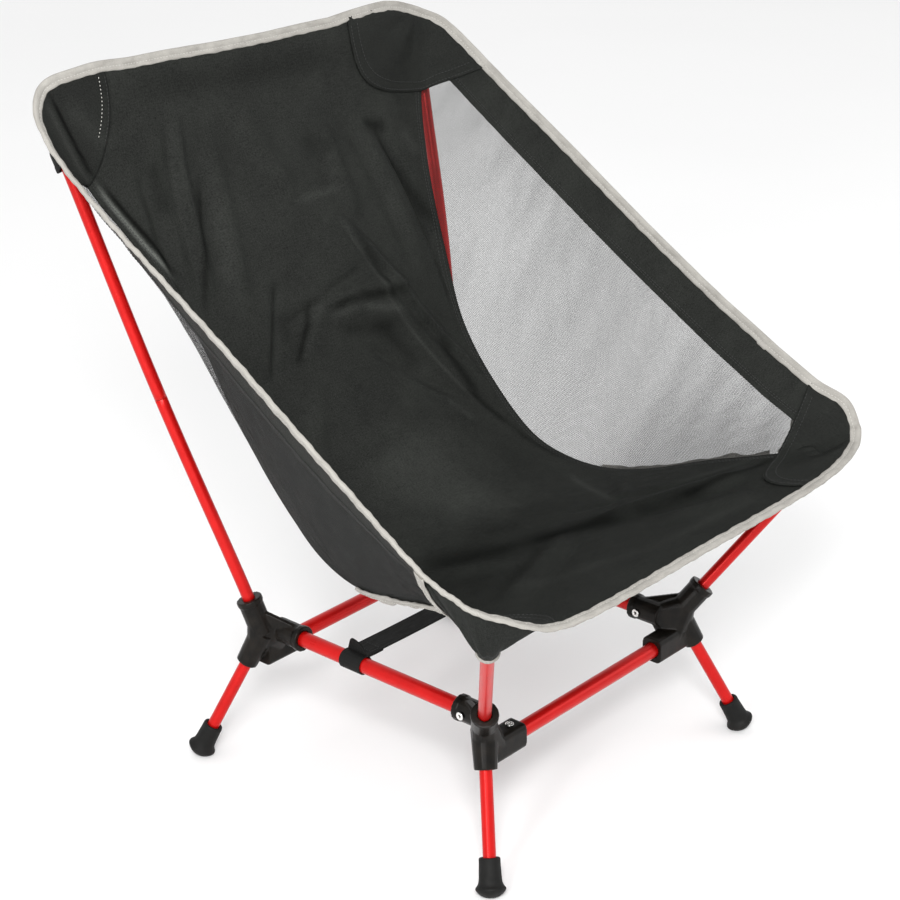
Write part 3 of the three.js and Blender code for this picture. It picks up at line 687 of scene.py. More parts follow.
def build_strap():
    """Webbing between the side bars: a loop round each bar, the band, and a pointed free end."""
    low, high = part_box("base_strap")
    bar_low, bar_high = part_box("bar_left")
    bar_x = -(bar_low.x + bar_high.x) / 2
    height = (bar_low.z + bar_high.z) / 2
    bar_radius = (bar_high.x - bar_low.x) / 2
    middle_y, width, thick = (low.y + high.y) / 2, high.y - low.y, 1.3 * MM
    ring = bar_radius + 0.35 * MM + thick / 2

    def loop(side, start, end, count):
        angle = np.radians(np.linspace(start, end, count))
        return [(side * (bar_x + ring * math.sin(a)), height + ring * math.cos(a)) for a in angle]

    droop, overlap = 2.2 * MM, 24 * MM

    def band_height(x):
        return height + ring - droop * (1 - (x / bar_x) ** 2)

    band = [(x, band_height(x)) for x in np.linspace(-bar_x, bar_x, 120)[1:-1]]
    tucked = [(bar_x - overlap * 0.55, height + ring - thick * 1.3 - droop * 0.15),
              (bar_x - overlap, height + ring - thick * 1.15 - droop * 0.30)]
    left_end = [(-x, z) for x, z in reversed(tucked)]
    wrap = 325  # degrees that the webbing turns round a bar
    path = left_end + loop(-1, wrap, 0, 60) + band + loop(1, 0, wrap, 60) + tucked
    line = np.array([(x, middle_y, z) for x, z in path])
    line = resample(line, 1.2 * MM)[0]
    tangent = unit(np.gradient(line, axis=0))
    across = np.broadcast_to(np.array([0, 1.0, 0]), line.shape)
    lift = unit(np.cross(tangent, across))
    section = webbing_section(width, thick)
    strap = sweep("webbing_strap", line, across, lift, section, False)
    dress(strap, WEBBING, "frame", "strap_webbing", "base_strap")
    tail = build_strap_tail(np.array([-bar_x + 3 * MM, middle_y, height + ring + thick * 0.4]), section)
    box_near, box_far, box_y = bar_x - 11 * MM, bar_x - 22 * MM, width / 2 - 3 * MM
    box = [[(x, y) for y in np.linspace(-box_y, box_y, 12)] for x in (box_near, box_far)]
    box += [[(x, y) for x in np.linspace(box_near, box_far, 12)] for y in (-box_y, box_y)]
    lines = []
    for side in (-1, 1):
        for row in box:
            points = np.array([(side * x, middle_y + y, band_height(x) + thick / 2) for x, y in row])
            lines.append((points, np.broadcast_to(np.array([0, 0, 1.0]), points.shape)))
    sewn = stitches("strap_stitching", lines, DARK_THREAD, body="frame")


# ---------------------------------------------------------------- the sling's shape

def catmull(points, closed, count):
    """Points along a centripetal Catmull-Rom curve, evenly spaced in its own parameter."""
    points = np.asarray(points, float)
    total = len(points)
    q = (total if closed else total - 1) * np.linspace(0, 1, count, endpoint=not closed)
    i = np.floor(q).astype(int)
    w = q - i
    if not closed:
        last = i >= total - 1
        i[last], w[last] = total - 2, 1

    def at(k):
        return points[k % total]

    p1, p2 = at(i), at(i + 1)
    if closed:
        p0, p3 = at(i - 1), at(i + 2)
    else:
        p0 = np.where((i > 0)[:, None], at(np.maximum(i - 1, 0)), 2 * points[0] - points[1])
        p3 = np.where((i + 2 < total)[:, None], at(np.minimum(i + 2, total - 1)), 2 * points[-1] - points[-2])

    def gap(a, b):
        return (np.maximum(((a - b) ** 2).sum(1), 1e-24) ** 0.25)[:, None]

    d0, d1, d2 = gap(p0, p1), gap(p1, p2), gap(p2, p3)
    t1 = ((p1 - p0) / d0 - (p2 - p0) / (d0 + d1) + (p2 - p1) / d1) * d1
    t2 = ((p2 - p1) / d1 - (p3 - p1) / (d1 + d2) + (p3 - p2) / d2) * d1
    w = w[:, None]
    return p1 + t1 * w + (-3 * p1 + 3 * p2 - 2 * t1 - t2) * w ** 2 + (2 * p1 - 2 * p2 + t1 + t2) * w ** 3


class Line:
    """A curve that gives its point at a share of its length."""

    def __init__(self, points):
        self.points = np.asarray(points, float)
        self.walk = distances(self.points)
        self.length = self.walk[-1]

    def at(self, share):
        where = np.clip(share, 0, 1) * self.length
        return np.stack([np.interp(where, self.walk, self.points[:, k]) for k in range(3)], -1)

    def tangent(self, share, step=1e-3):
        share = np.asarray(share, float)
        return unit(self.at(share + step) - self.at(share - step))


# The right half of the rim, from the middle of the top edge to the middle of the front edge, and the right
# seam from its top corner to its front corner, in the part's own millimetres; to_frame moves both into place.
RIM_HALF = [(0, 270, 644), (188, 268, 637), (236, 265, 621), (256, 246, 607), (267, 10, 464),
            (270, -205, 329), (263, -241, 297), (217, -259, 288), (0, -262, 282)]
TOP_CORNER, FRONT_CORNER = 2, 6  # where the seam's ends are in RIM_HALF
SEAM = [(236, 265, 621), (223, 251, 583), (203, 236, 543), (184, 215, 508), (168, 193, 472), (154, 163, 413),
        (149, 136, 347), (151, 95, 290), (155, 50, 249), (161, 12, 235), (168, -30, 233), (176, -75, 243),
        (190, -125, 260), (214, -190, 280), (263, -241, 297)]
SEAT_CROWN, SIDE_BULGE, BAND_WIDTH = 9 * MM, 5 * MM, 42 * MM
WINDOW_TOP, WINDOW_FRONT = 0.105, 0.915  # the mesh window's ends, as shares of the seam's length
CLOTH = 1.0 * MM  # thickness of the sling's fabric

rim_loop = [np.array(p, float) for p in RIM_HALF]
rim_loop += [p * (-1, 1, 1) for p in rim_loop[-2:0:-1]]
RIM_COUNT = len(rim_loop)
PER_SPAN = 500
rim_dense = catmull(np.array(rim_loop) * MM, True, RIM_COUNT * PER_SPAN)
binding_low, binding_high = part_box("edge_binding")
to_frame = np.array((binding_low + binding_high) / 2) - (rim_dense.min(0) + rim_dense.max(0)) / 2
to_frame[0] = 0
rim_dense = rim_dense + to_frame
seam_line = Line(catmull(np.array(SEAM, float) * MM, False, 4000) + to_frame)


def rim_span(first, last):
    """The rim between two places on it, given by the index of its points."""
    index = np.arange(round(first * PER_SPAN), round(last * PER_SPAN) + 1)
    return rim_dense[index % len(rim_dense)]


side_rim = Line(rim_span(TOP_CORNER, FRONT_CORNER))
top_rim = rim_span(-TOP_CORNER, TOP_CORNER)
front_rim = rim_span(FRONT_CORNER, RIM_COUNT - FRONT_CORNER)[::-1]
top_end, front_end = seam_line.at(0.0), seam_line.at(1.0)
SEAT_LENGTH = seam_line.length

random.seed(SEED)
RIPPLES = [(random.uniform(0, 2 * math.pi), 2 * math.pi / (random.uniform(16, 60) * MM),
            random.uniform(0, 6.3)) for _ in range(14)]


def ripple(s, x):
    """Fine unevenness of stretched cloth, about -1 to 1."""
    total = 0
    for turn, rate, phase in RIPPLES:
        total = total + np.sin(rate * (s * math.cos(turn) + x * math.sin(turn)) + phase)
    return total / math.sqrt(len(RIPPLES)) / 1.6


# Folds in the seat panel: from (s, x) to (s, x), half width and height, in millimetres.
# s runs down from the top edge and x across; the height is towards the sitter, before FOLD_SCALE.
FOLD_SCALE = 4.6
SEAT_FOLDS = [
    (50, -104, 215, -128, 6, 1.3), (80, -72, 235, -100, 9, 1.1), (90, -150, 230, -152, 7, -1.2),
    (60, -30, 150, -10, 14, 0.9), (90, 60, 190, 52, 10, 0.9), (110, 128, 300, 148, 8, -1.6),
    (95, 104, 250, 116, 9, 1.2), (186, 34, 372, 140, 5, 1.1), (250, -30, 262, 92, 7, 0.9),
    (222, -62, 300, -96, 5, -0.9), (262, -70, 236, 40, 6, -0.7), (305, 12, 385, 92, 6, -0.7),
    (330, -60, 455, -138, 10, 0.8), (400, -120, 380, 60, 12, 0.5), (642, 15, 700, 172, 12, 1.3),
    (600, 40, 672, 150, 9, -0.8), (690, -160, 640, -20, 12, 1.0), (740, 120, 700, 30, 14, 0.8),
    (560, 150, 640, 60, 9, 0.7), (520, -150, 640, -90, 12, 0.8),
]


# Painted light and shade on the seat's cloth, paler (above 0) or darker (below 0): painted highlights along
# its ridges and creases, painted shade in its folds;
# from (s, x) to (s, x) and half width in millimetres, then how much.
SEAT_PAINTED_SHADING = [
    (84, -137, 133, -140, 8, -0.35), (112, -97, 225, -138, 3, -0.55), (128, -82, 214, -109, 12, 0.15),
    (99, -114, 175, -140, 7, 0.15), (159, -9, 159, 48, 4, 0.4), (97, 32, 125, 55, 13, -0.22),
    (102, 110, 112, 140, 8, -0.5), (120, 122, 222, 152, 7, -0.5), (118, 162, 149, 162, 7, 0.3),
    (191, 33, 272, 59, 2.5, 0.45), (191, 40, 272, 67, 3, -0.3), (272, 59, 400, 114, 2.5, 0.5),
    (285, 31, 342, 66, 9, -0.3), (322, 107, 395, 120, 6, -0.5), (267, -20, 267, 19, 4, 0.5),
    (267, 19, 285, 74, 4, 0.55), (256, 19, 269, 72, 3.5, -0.3), (282, -15, 295, 62, 8, -0.28),
    (248, -36, 298, -70, 3, -0.55), (251, -24, 293, -59, 4, 0.3), (246, -68, 277, -72, 6, -0.2),
    (86, -196, 186, -155, 2.0, 4.5), (86, -190, 186, -148, 2.4, -0.8), (24, -166, 29, 127, 14, -0.28),
    (392, 1, 541, 0, 48, 0.45), (546, -106, 614, -49, 20, -0.4), (614, -49, 661, 33, 18, -0.5),
    (661, 33, 690, 112, 11, -0.3), (518, 128, 617, 74, 4, 0.5), (682, -147, 737, -14, 8, 0.15),
    (737, -14, 748, 117, 7, 0.2), (680, 88, 706, 207, 4, -0.4), (640, 121, 690, 206, 4, 0.25),
    (379, 107, 429, 134, 4, -0.5), (429, 134, 499, 159, 4, -0.4), (379, 75, 410, 95, 4, 0.3),
    (10, -227, 78, -199, 1.8, -0.85), (10, -234, 78, -207, 2.6, 0.6), (20, -214, 60, -176, 7, 0.35),
]


def along_line(s, x, entry):
    """How far a place is off a line, and how strong the line is there: 1, fading to 0 past its ends."""
    s0, x0, s1, x1 = (value * MM for value in entry[:4])
    ds, dx = s1 - s0, x1 - x0
    t = ((s - s0) * ds + (x - x0) * dx) / (ds * ds + dx * dx)
    off = ((s - s0) * dx - (x - x0) * ds) / math.hypot(ds, dx)
    return off, smoothstep((t + 0.12) / 0.35) * smoothstep((1.12 - t) / 0.35)


def fold(s, x, entry):
    """Height of one fold towards the sitter: a ridge with a shallower hollow beside it."""
    off, fade = along_line(s, x, entry)
    wide, high = entry[4] * MM, entry[5] * MM
    ridge = np.exp(-(off / wide) ** 2)
    hollow = 0.35 * np.exp(-((off - 1.5 * wide) / wide) ** 2)
    return FOLD_SCALE * high * fade * (ridge - hollow)


def painted_seat_shading(s, x):
    """Painted light and shade at a place on the seat panel, paler above 0 and darker below 0; painted shade
    darkens the front third.
    """
    # painted shade over the front third of the seat
    total = -0.30 * smoothstep((s - 480 * MM) / (160 * MM))
    for entry in SEAT_PAINTED_SHADING:
        off, fade = along_line(s, x, entry)
        total = total + entry[5] * fade * np.exp(-(off / (entry[4] * MM)) ** 2)
    return total


def fan(s, x, corner_s, corner_x, ridges, height, reach):
    """Tension folds that spread from a corner into the panel."""
    ds, dx = s - corner_s, x - corner_x
    distance = np.hypot(ds, dx)
    angle = np.arctan2(ds, dx)
    grow = smoothstep((distance - 12 * MM) / (30 * MM)) * np.exp(-(distance / reach) ** 2)
    return height * grow * np.sin(ridges * angle + 0.9 * np.sin(2.3 * angle))


def seat_relief(share, across):
    """How far the cloth stands off its smooth shape, away from the sitter."""
    s = share * SEAT_LENGTH
    half = seam_line.at(share)[..., 0]
    x = across * half
    total = 0.22 * MM * ripple(s, x)
    for entry in SEAT_FOLDS:
        total = total - fold(s, x, entry)
    for corner_s, corner_x in ((0, top_end[0]), (SEAT_LENGTH, front_end[0])):
        for side in (-1, 1):
            total = total + fan(s, x, corner_s, side * corner_x, 9 + side, 1.6 * MM, 95 * MM)
    edge = np.minimum(half * (1 - np.abs(across)), np.minimum(s, SEAT_LENGTH - s))
    return total * smoothstep(edge / (16 * MM))


def seat_smooth(share, across):
    edge = seam_line.at(share)
    tangent = seam_line.tangent(share)
    outward = unit(np.stack([0 * tangent[..., 0], -tangent[..., 2], tangent[..., 1]], -1))
    crown = (1 - across ** 2) * SEAT_CROWN * np.sin(math.pi * np.clip(share, 0, 1)) ** 0.7
    point = np.stack([edge[..., 0] * across, edge[..., 1], edge[..., 2]], -1) - outward * crown[..., None]
    for pull, line, end in (((1 - share) ** 8, top_rim, top_end), (share ** 8, front_rim, front_end)):
        for k in (1, 2):
            point[..., k] += pull * (np.interp(across * end[0], line[:, 0], line[:, k]) - end[k])
    return point


def side_smooth(share, across):
    inner, outer = seam_line.at(share), side_rim.at(share)
    point = inner + (outer - inner) * across[..., None]
    bulge = SIDE_BULGE * np.sin(math.pi * across) * np.sin(math.pi * share)
    outward = unit(np.cross(outer - inner, seam_line.tangent(share)))
    return point + outward * bulge[..., None]


# How the sling hangs on the chair, away from its even shape, in millimetres.
# The rim's sag between its corners: the sides' by the place in y, the top edge's by the place in x, each
# followed by the shares of it that go inwards or forwards, and down.
SIDE_SAG = [(-245, 0), (-241, 3), (-211, 9), (-183, 12.5), (-155, 17), (-97, 21), (-68, 21), (-38, 20),
            (-10, 19), (80, 14.5), (140, 12.5), (170, 11), (200, 8), (230, 3), (246, 0)]
SIDE_INWARDS, SIDE_DOWN = 0.443, 0.557
TOP_SAG = [(-157, 0), (-99, 3.3), (-38, 7.5), (24, 10), (110, 10.3), (155, 5.5), (188, 1.5), (236, 0)]
TOP_FORWARDS, TOP_DOWN = 0.2, 0.97
# Three corners have ridden up over their poles: each a centre, a shift and a radius.
RIDDEN_UP = [((-262, -249, 297), (5, 5, 20), 45), ((-232, 261, 622), (-2, 0, 15), 36),
             ((-180, 264, 634), (0, 0, 5), 30), ((268, -222, 312), (5.5, -1.5, 8), 26)]
# The left seam hangs further out than the right one: by the share of its length from the top.
SEAM_SHIFT = [(0, 0), (0.05, 4), (0.13, 12), (0.2, 16), (0.27, 15), (0.37, 10), (0.46, 4), (0.55, 0), (1, 0)]


def sag(points):
    """The shift of points that comes from the rim's sag; it fades out towards the seams and down the back."""
    x, y = points[..., 0], points[..., 1]
    side = np.interp(y, *np.transpose(SIDE_SAG) * MM) * smoothstep((np.abs(x) - 190 * MM) / (60 * MM))
    top = np.interp(x, *np.transpose(TOP_SAG) * MM) * smoothstep((y - 205 * MM) / (50 * MM))
    down = SIDE_DOWN * side + TOP_DOWN * top
    return np.stack([-SIDE_INWARDS * side * np.sign(x), -TOP_FORWARDS * top, -down], -1)


def settle(points):
    """Points of the even sling moved to where they hang: the rim's sag and the ridden-up corners."""
    moved = points + sag(points)
    for centre, move, radius in RIDDEN_UP:
        away = np.linalg.norm(points - np.array(centre) * MM, axis=-1)
        moved = moved + np.array(move) * MM * np.exp(-(away / (radius * MM)) ** 2)[..., None]
    return moved


def left_shift(surface, share, across, side):
    """How far a point of the sling sits towards -X of its place on the even shape."""
    at_seam = np.interp(share, *np.transpose(SEAM_SHIFT)) * MM
    if surface is side_surface:
        return at_seam * (1 - across) * (side < 0)
    return at_seam * smoothstep(-across)


def side_width(share):
    return np.linalg.norm(side_rim.at(share) - seam_line.at(share), axis=-1)


def side_relief(share, across):
    s = share * SEAT_LENGTH
    width = side_width(share)
    x = across * width
    total = 0.2 * MM * ripple(s + 0.4, x + 0.3)
    pull = np.sin(2 * math.pi * s / (52 * MM) + 2.2 * np.sin(s / (90 * MM)) + 1.5 * across)
    total = total + 0.35 * MM * pull * np.sin(math.pi * across) * smoothstep((width - 30 * MM) / (60 * MM))
    edge = np.minimum(x, width - x)
    return total * smoothstep(edge / (12 * MM))


def surface_normal(surface, share, across, step=1e-3):
    """Unit normal of a surface, away from the sitter."""
    down = surface(np.minimum(share + step, 1), across) - surface(np.maximum(share - step, 0), across)
    right = surface(share, np.minimum(across + step, 1)) - surface(share, np.maximum(across - step, -1))
    return unit(np.cross(right, down))


def seat_surface(share, across):
    share, across = np.broadcast_arrays(np.asarray(share, float), np.asarray(across, float))
    normal = surface_normal(seat_smooth, share, across)
    return seat_smooth(share, across) + normal * seat_relief(share, across)[..., None]


def side_surface(share, across):
    share, across = np.broadcast_arrays(np.asarray(share, float), np.asarray(across, float))
    share = np.clip(share, 0.003, 0.997)
    normal = surface_normal(side_smooth, share, across)
    return side_smooth(share, across) + normal * side_relief(share, across)[..., None]


def on_surface(surface, share, across, side=1):
    """Points and outward normals on a surface; side -1 gives the left one."""
    share, across = np.broadcast_arrays(np.asarray(share, float), np.asarray(across, float))
    if surface is side_surface:
        share = np.clip(share, 0.005, 0.995)
    points = surface(share, across)
    normals = surface_normal(surface, share, across)
    if side < 0:
        points, normals = points * (-1, 1, 1), normals * (-1, 1, 1)
    points[..., 0] -= left_shift(surface, share, across, side)
    return settle(points), normals


def area_of(points):
    """Area of a grid of points."""
    diagonals = points[1:, 1:] - points[:-1, :-1], points[1:, :-1] - points[:-1, 1:]
    return float(np.linalg.norm(np.cross(*diagonals), axis=-1).sum() / 2)


# ---------------------------------------------------------------- the sling's pieces

def build_seat():
    share = np.linspace(0.0, 1.0, 440)[:, None]
    across = np.linspace(-1, 1, 241)[None, :]
    points, normals = on_surface(seat_surface, share, across)
    half = seam_line.at(share)[..., 0]
    uv = np.stack(np.broadcast_arrays(across * half, share * SEAT_LENGTH), -1)
    # painted light and shade on the seat: painted highlights on ridges, painted shade in folds and over the
    # front third
    tone = painted_seat_shading(share * SEAT_LENGTH + 0 * across, across * half)
    panel = cloth("seat_cloth", points - normals * CLOTH / 2, points + normals * CLOTH / 2, uv, tone)
    dress(panel, FABRIC, "sling", "sling_fabric", "seat_panel")
    return panel, area_of(points)


def hem(distance, width=8 * MM):
    """Extra thickness of a folded hem, by distance from its edge."""
    return 0.55 * MM * smoothstep((width - distance) / (0.8 * MM))


def build_window(side, name):
    """The mesh window, tucked a little way into the band round it."""
    share = np.linspace(WINDOW_TOP - 0.006, WINDOW_FRONT + 0.006, 240)[:, None]
    limit = 1 - (BAND_WIDTH - 5 * MM) / side_width(share)
    across = np.linspace(0, 1, 48)[None, :] * limit
    points, normals = on_surface(side_surface, share, across, side)
    uv = np.stack(np.broadcast_arrays(across * side_width(share), share * SEAT_LENGTH), -1)
    panel = cloth(f"mesh_window_{name}", points - normals * 0.2 * MM, points + normals * 0.2 * MM, uv)
    dress(panel, MESH, "sling", "side_mesh", f"side_mesh_{name}")


def build_band(side, name):
    """The black cloth round the mesh window: a band along the rim and the two corners."""
    parts = [np.linspace(0.004, WINDOW_TOP, 44), np.linspace(WINDOW_TOP + 0.0006, WINDOW_FRONT - 0.0006, 260),
             np.linspace(WINDOW_FRONT, 0.996, 38)]
    share = np.concatenate(parts)[:, None]
    width = side_width(share)
    inner = np.where((share > WINDOW_TOP) & (share < WINDOW_FRONT), 1 - BAND_WIDTH / width, 0.0)
    spread = np.linspace(0, 1, 40)[None, :] ** 1.15
    across = inner + (1 - inner) * spread
    points, normals = on_surface(side_surface, share, across, side)
    s = share * SEAT_LENGTH
    past_ends = np.maximum(WINDOW_TOP * SEAT_LENGTH - s, 0) + np.maximum(s - WINDOW_FRONT * SEAT_LENGTH, 0)
    to_window = np.where(inner > 0, (across - inner) * width, past_ends)
    thick = (CLOTH / 2 + hem(to_window) / 2)[..., None]
    uv = np.stack(np.broadcast_arrays(across * width, s), -1)
    panel = cloth(f"rim_band_{name}", points - normals * thick, points + normals * thick, uv)
    dress(panel, FABRIC, "sling", "sling_fabric", f"side_band_{name}")
    stitched = []
    long_rows = np.linspace(WINDOW_TOP - 0.006, WINDOW_FRONT + 0.006, 300)
    for inset in (5.5 * MM, 7.5 * MM):
        along = 1 - (BAND_WIDTH - inset) / side_width(long_rows)
        for lift in (-1, 1):
            at, up = on_surface(side_surface, long_rows, along, side)
            stitched.append((at + up * lift * CLOTH, up * lift))
    for edge, sign in ((WINDOW_TOP, -1), (WINDOW_FRONT, 1)):
        row = edge + sign * 6 * MM / SEAT_LENGTH
        reach = np.linspace(0.03, max(0.3, 1 - (BAND_WIDTH - 7 * MM) / float(side_width(edge))), 40)
        for lift in (-1, 1):
            at, up = on_surface(side_surface, np.full(40, row), reach, side)
            stitched.append((at + up * lift * CLOTH, up * lift))
    return stitched


def seam_stitching():
    """Two rows of topstitching beside each seam, on both faces of the seat panel."""
    first_row, last_row, insets = 0.02, 0.985, (4.5 * MM, 7.5 * MM)
    lines = []
    rows = np.linspace(first_row, last_row, 500)
    half = seam_line.at(rows)[:, 0]
    for side in (-1, 1):
        for inset in insets:
            at, up = on_surface(seat_surface, rows, side * (1 - inset / half))
            for lift in (-1, 1):
                lines.append((at + up * lift * CLOTH / 2, up * lift))
    return lines


# Corner patches: length along the seam, width along the top or front edge, how square the outline is,
# how much longer it is at the rim of the side panel, and how thick it is.
PATCHES = {
    "back_left": (81 * MM, 69 * MM, 1.45, 0.41, 0.9 * MM),
    "back_right": (83 * MM, 103 * MM, 2.6, 0.41, 0.9 * MM),
    "front_left": (60 * MM, 70 * MM, 2.0, 0.26, 0.35 * MM),
    "front_right": (73 * MM, 103 * MM, 2.2, 0.26, 0.9 * MM),
}


def patch_points(front, side, entry):
    """Grid of places on a corner patch: over the seat panel, then over the side panel.

    Rows fan from the top or front edge round to the side rim, columns run from the corner outwards."""
    along, wide, power, longer, _ = entry
    reach = np.linspace(0.02, 1, 34)
    rows, normals, inset, painted_shading = [], [], [], []
    for turn in np.linspace(0, 1, 26) * math.pi / 2:
        s = 2.5 * MM + (along - 2.5 * MM) * reach * math.sin(turn) ** (2 / power)
        x = wide * reach * max(math.cos(turn), 0) ** (2 / power)
        share = s / SEAT_LENGTH
        share = 1 - share if front else share
        half = seam_line.at(share)[:, 0]
        place = on_surface(seat_surface, share, side * np.clip(1 - x / np.maximum(half, 1e-6), 0, 1))
        rows.append(place[0])
        normals.append(place[1])
        inset.append(s)
        # the back patches carry the seat's painted light and shade; the front patches get none
        painted_shading.append(painted_seat_shading(share * SEAT_LENGTH, side * (half - x)) * (not front))
    for across in np.linspace(0, 0.985, 16)[1:]:
        s = along * reach * (1 + longer * across ** 1.3)
        share = s / SEAT_LENGTH
        share = 1 - share if front else share
        place = on_surface(side_surface, share, np.full_like(share, across), side)
        rows.append(place[0])
        normals.append(place[1])
        inset.append((1 - across) * side_width(share))
        # the painted light and shade fades out over the side panel
        painted_shading.append(painted_shading[-1] * 0.8)
    return np.array(rows), np.array(normals), np.array(inset), np.array(painted_shading)


def blur(values, rounds, axis=0):
    """Evens values out along one axis, ends kept."""
    values = np.moveaxis(np.array(values, float), axis, 0)
    for _ in range(rounds):
        inside = (values[:-2] + 2 * values[1:-1] + values[2:]) / 4
        values = np.concatenate([values[:1], inside, values[-1:]])
    return np.moveaxis(values, 0, axis)


def build_patch(corner):
    front, side = corner.startswith("front"), -1 if corner.endswith("left") else 1
    entry = PATCHES[corner]
    # tone here is the painted light and shade taken over from the seat
    points, normals, inset, tone = patch_points(front, side, entry)
    normals = unit(blur(normals, 6))
    points = blur(points, 2)
    clear = smoothstep((inset - 6 * MM) / (5 * MM))[..., None]
    wave = 0.25 * MM * np.sin(np.linspace(0, 40, points.shape[0]))[:, None, None]
    from_corner = np.linspace(0, 1, points.shape[1])[None, :, None]
    lift = CLOTH / 2 + 0.05 * MM + clear * (0.1 * MM + np.abs(wave)) * from_corner ** 3
    along, full, thin = entry[0], entry[4], 0.15 * MM  # it thins out where the binding grips it
    rise = hem(np.linspace(along, 0, points.shape[1]), 6 * MM)[None, :, None] * (full / (0.9 * MM))
    thick = thin + clear * (full - thin + rise)
    uv = np.stack([points[..., 0], points[..., 1] + points[..., 2]], -1)
    patch = cloth(f"patch_{corner}", points - normals * lift, points - normals * (lift + thick), uv, tone)
    end = "front" if front else "back"
    dress(patch, PATCH, "sling", "sling_fabric", f"corner_patch_{end}_{name_of(side)}")
    lines = []
    for column in (points.shape[1] - 2, points.shape[1] - 5):
        surface = points[:, column] - normals[:, column] * (lift + thick)[:, column]
        keep = inset[:, column] > 9 * MM
        if corner == "back_left":
            keep &= np.arange(len(keep)) < 15  # its stitches stop partway round
        lines.append((surface[keep], -normals[keep, column]))
    return patch, lines


def towards_inside(point, i, share):
    """A place a little inside the rim's right half; i counts its points, share runs along the side rim."""
    if i <= TOP_CORNER:
        return seat_smooth(np.array(0.02), np.array(min(point[0] / top_end[0], 1.0)))
    if i >= FRONT_CORNER:
        return seat_smooth(np.array(0.98), np.array(min(point[0] / front_end[0], 1.0)))
    if 0.03 < share < 0.97:
        return side_smooth(np.array(share), np.array(0.85))
    return seam_line.at(0.5 * share + (0.06 if share < 0.5 else 0.44))


def rim_frames(count):
    """Points round the whole rim with their inward and outward-facing directions."""
    loop = Line(np.concatenate([rim_dense, rim_dense[:1]]))
    points = loop.at(np.arange(count) / count)
    place = np.arange(count) / count * loop.length
    index = np.interp(place, loop.walk, np.arange(len(loop.walk)) / PER_SPAN)
    corners = np.array([TOP_CORNER, FRONT_CORNER]) * PER_SPAN
    side_start, side_end = np.interp(corners, np.arange(len(loop.walk)), loop.walk)
    inward = np.zeros_like(points)
    for k in range(count):
        mirrored = index[k] > RIM_COUNT / 2
        flip = np.array([-1, 1, 1] if mirrored else [1, 1, 1])
        i = RIM_COUNT - index[k] if mirrored else index[k]
        s = loop.length - place[k] if mirrored else place[k]
        point = points[k] * flip
        share = float((s - side_start) / (side_end - side_start))
        inward[k] = unit((towards_inside(point, i, share) - point) * flip)
    points = settle(points)
    tangent = unit(np.roll(points, -1, 0) - np.roll(points, 1, 0))
    steps, width = np.arange(-30, 31), 9 * MM
    kernel = np.exp(-0.5 * (steps * loop.length / count / width) ** 2)
    kernel /= kernel.sum()
    smooth = sum(w * np.roll(inward, k, 0) for k, w in zip(steps, kernel))
    inward = unit(smooth - (smooth * tangent).sum(1, keepdims=True) * tangent)
    outward = np.cross(tangent, inward)
    return points, inward, outward, loop.length


# The upper half of the binding's section in millimetres: inwards from the rim, and off the cloth. It dips at
# the line of stitches.
BINDING_HALF = [(-1.7, 0.0), (-1.5, 0.95), (-0.8, 1.65), (0.5, 2.05), (2.1, 2.15), (3.7, 1.8), (4.7, 1.25),
                (5.6, 1.55), (6.8, 1.75), (7.9, 1.5), (8.5, 1.05), (8.6, 0.5)]
STITCH_LINE = 4.7 * MM


def build_binding():
    """The tape folded over the whole rim, a little uneven, with a thicker splice on the right side."""
    count = 1300
    points, inward, outward, length = rim_frames(count)
    s = np.arange(count) / count * length
    half = np.array(BINDING_HALF) * MM
    section = np.concatenate([half, half[:0:-1] * (1, -1)])
    sections = np.repeat(section[None], count, 0)
    turn = 2 * math.pi * s / length
    wobble = 0.35 * np.sin(61 * turn + 1.3) + 0.3 * np.sin(97 * turn) + 0.35 * np.sin(143 * turn + 4)
    edge = np.clip(sections[..., 0] / half[:, 0].max(), 0, 1) ** 2
    sections[..., 0] += edge * (0.45 * MM * wobble)[:, None]
    puff = 1 + 0.10 * np.sin(211 * turn)[:, None] + 0.05 * wobble[:, None]
    corner = rim_loop[FRONT_CORNER - 1] * MM + to_frame
    splice_place, splice_length, step = corner + np.array([-1, 68, 43]) * MM, 11 * MM, 0.8 * MM
    splice = s[np.argmin(np.linalg.norm(points - splice_place, axis=1))]
    over = smoothstep((s - splice) / step) * smoothstep((splice + splice_length - s) / step)
    sections[..., 1] *= puff + 0.45 * over[:, None]
    sections[..., 0] += edge * (1.3 * MM * over)[:, None]
    centres = points + outward * (0.3 * MM * np.sin(83 * turn + 0.7))[:, None]
    tape = sweep("edge_tape", centres, inward, outward, sections, True)
    dress(tape, TAPE, "sling", "binding_tape", "edge_binding")
    closed = np.arange(count + 1) % count
    lines = []
    for face in (-1, 1):
        level = 1.22 * MM * puff[:, 0] + 0.5 * MM * over
        line = centres + inward * STITCH_LINE + outward * (face * level)[:, None]
        lines.append((line[closed], (outward * face)[closed]))
    return tape, lines


def ribbon(name, centres, across, lift, width, thick, material, replaced=(), wobble=0.0):
    """A narrow tape of rounded section along a line."""
    half, depth = width / 2, thick / 2
    x, y = np.cos(circle(20)), np.sin(circle(20))
    section = np.stack([half * np.sign(x) * np.abs(x) ** 0.45, depth * np.sign(y) * np.abs(y) ** 0.7], -1)
    sections = np.repeat(section[None], len(centres), 0)
    walk = distances(centres)
    if wobble:
        wave = np.sin(walk / (5.1 * MM)) + 0.7 * np.sin(walk / (3.1 * MM) + 1)
        sections[..., 0] *= 1 + 0.10 * wave[:, None]
        centres = centres + across * (wobble * np.sin(walk / (6.3 * MM) + 2))[:, None]
        sections[..., 1] *= 1 + 0.25 * np.cos(walk / (2.4 * MM))[:, None]
    made = sweep(name, centres, across, lift, sections, False)
    return dress(made, material, "sling", "binding_tape", *replaced)


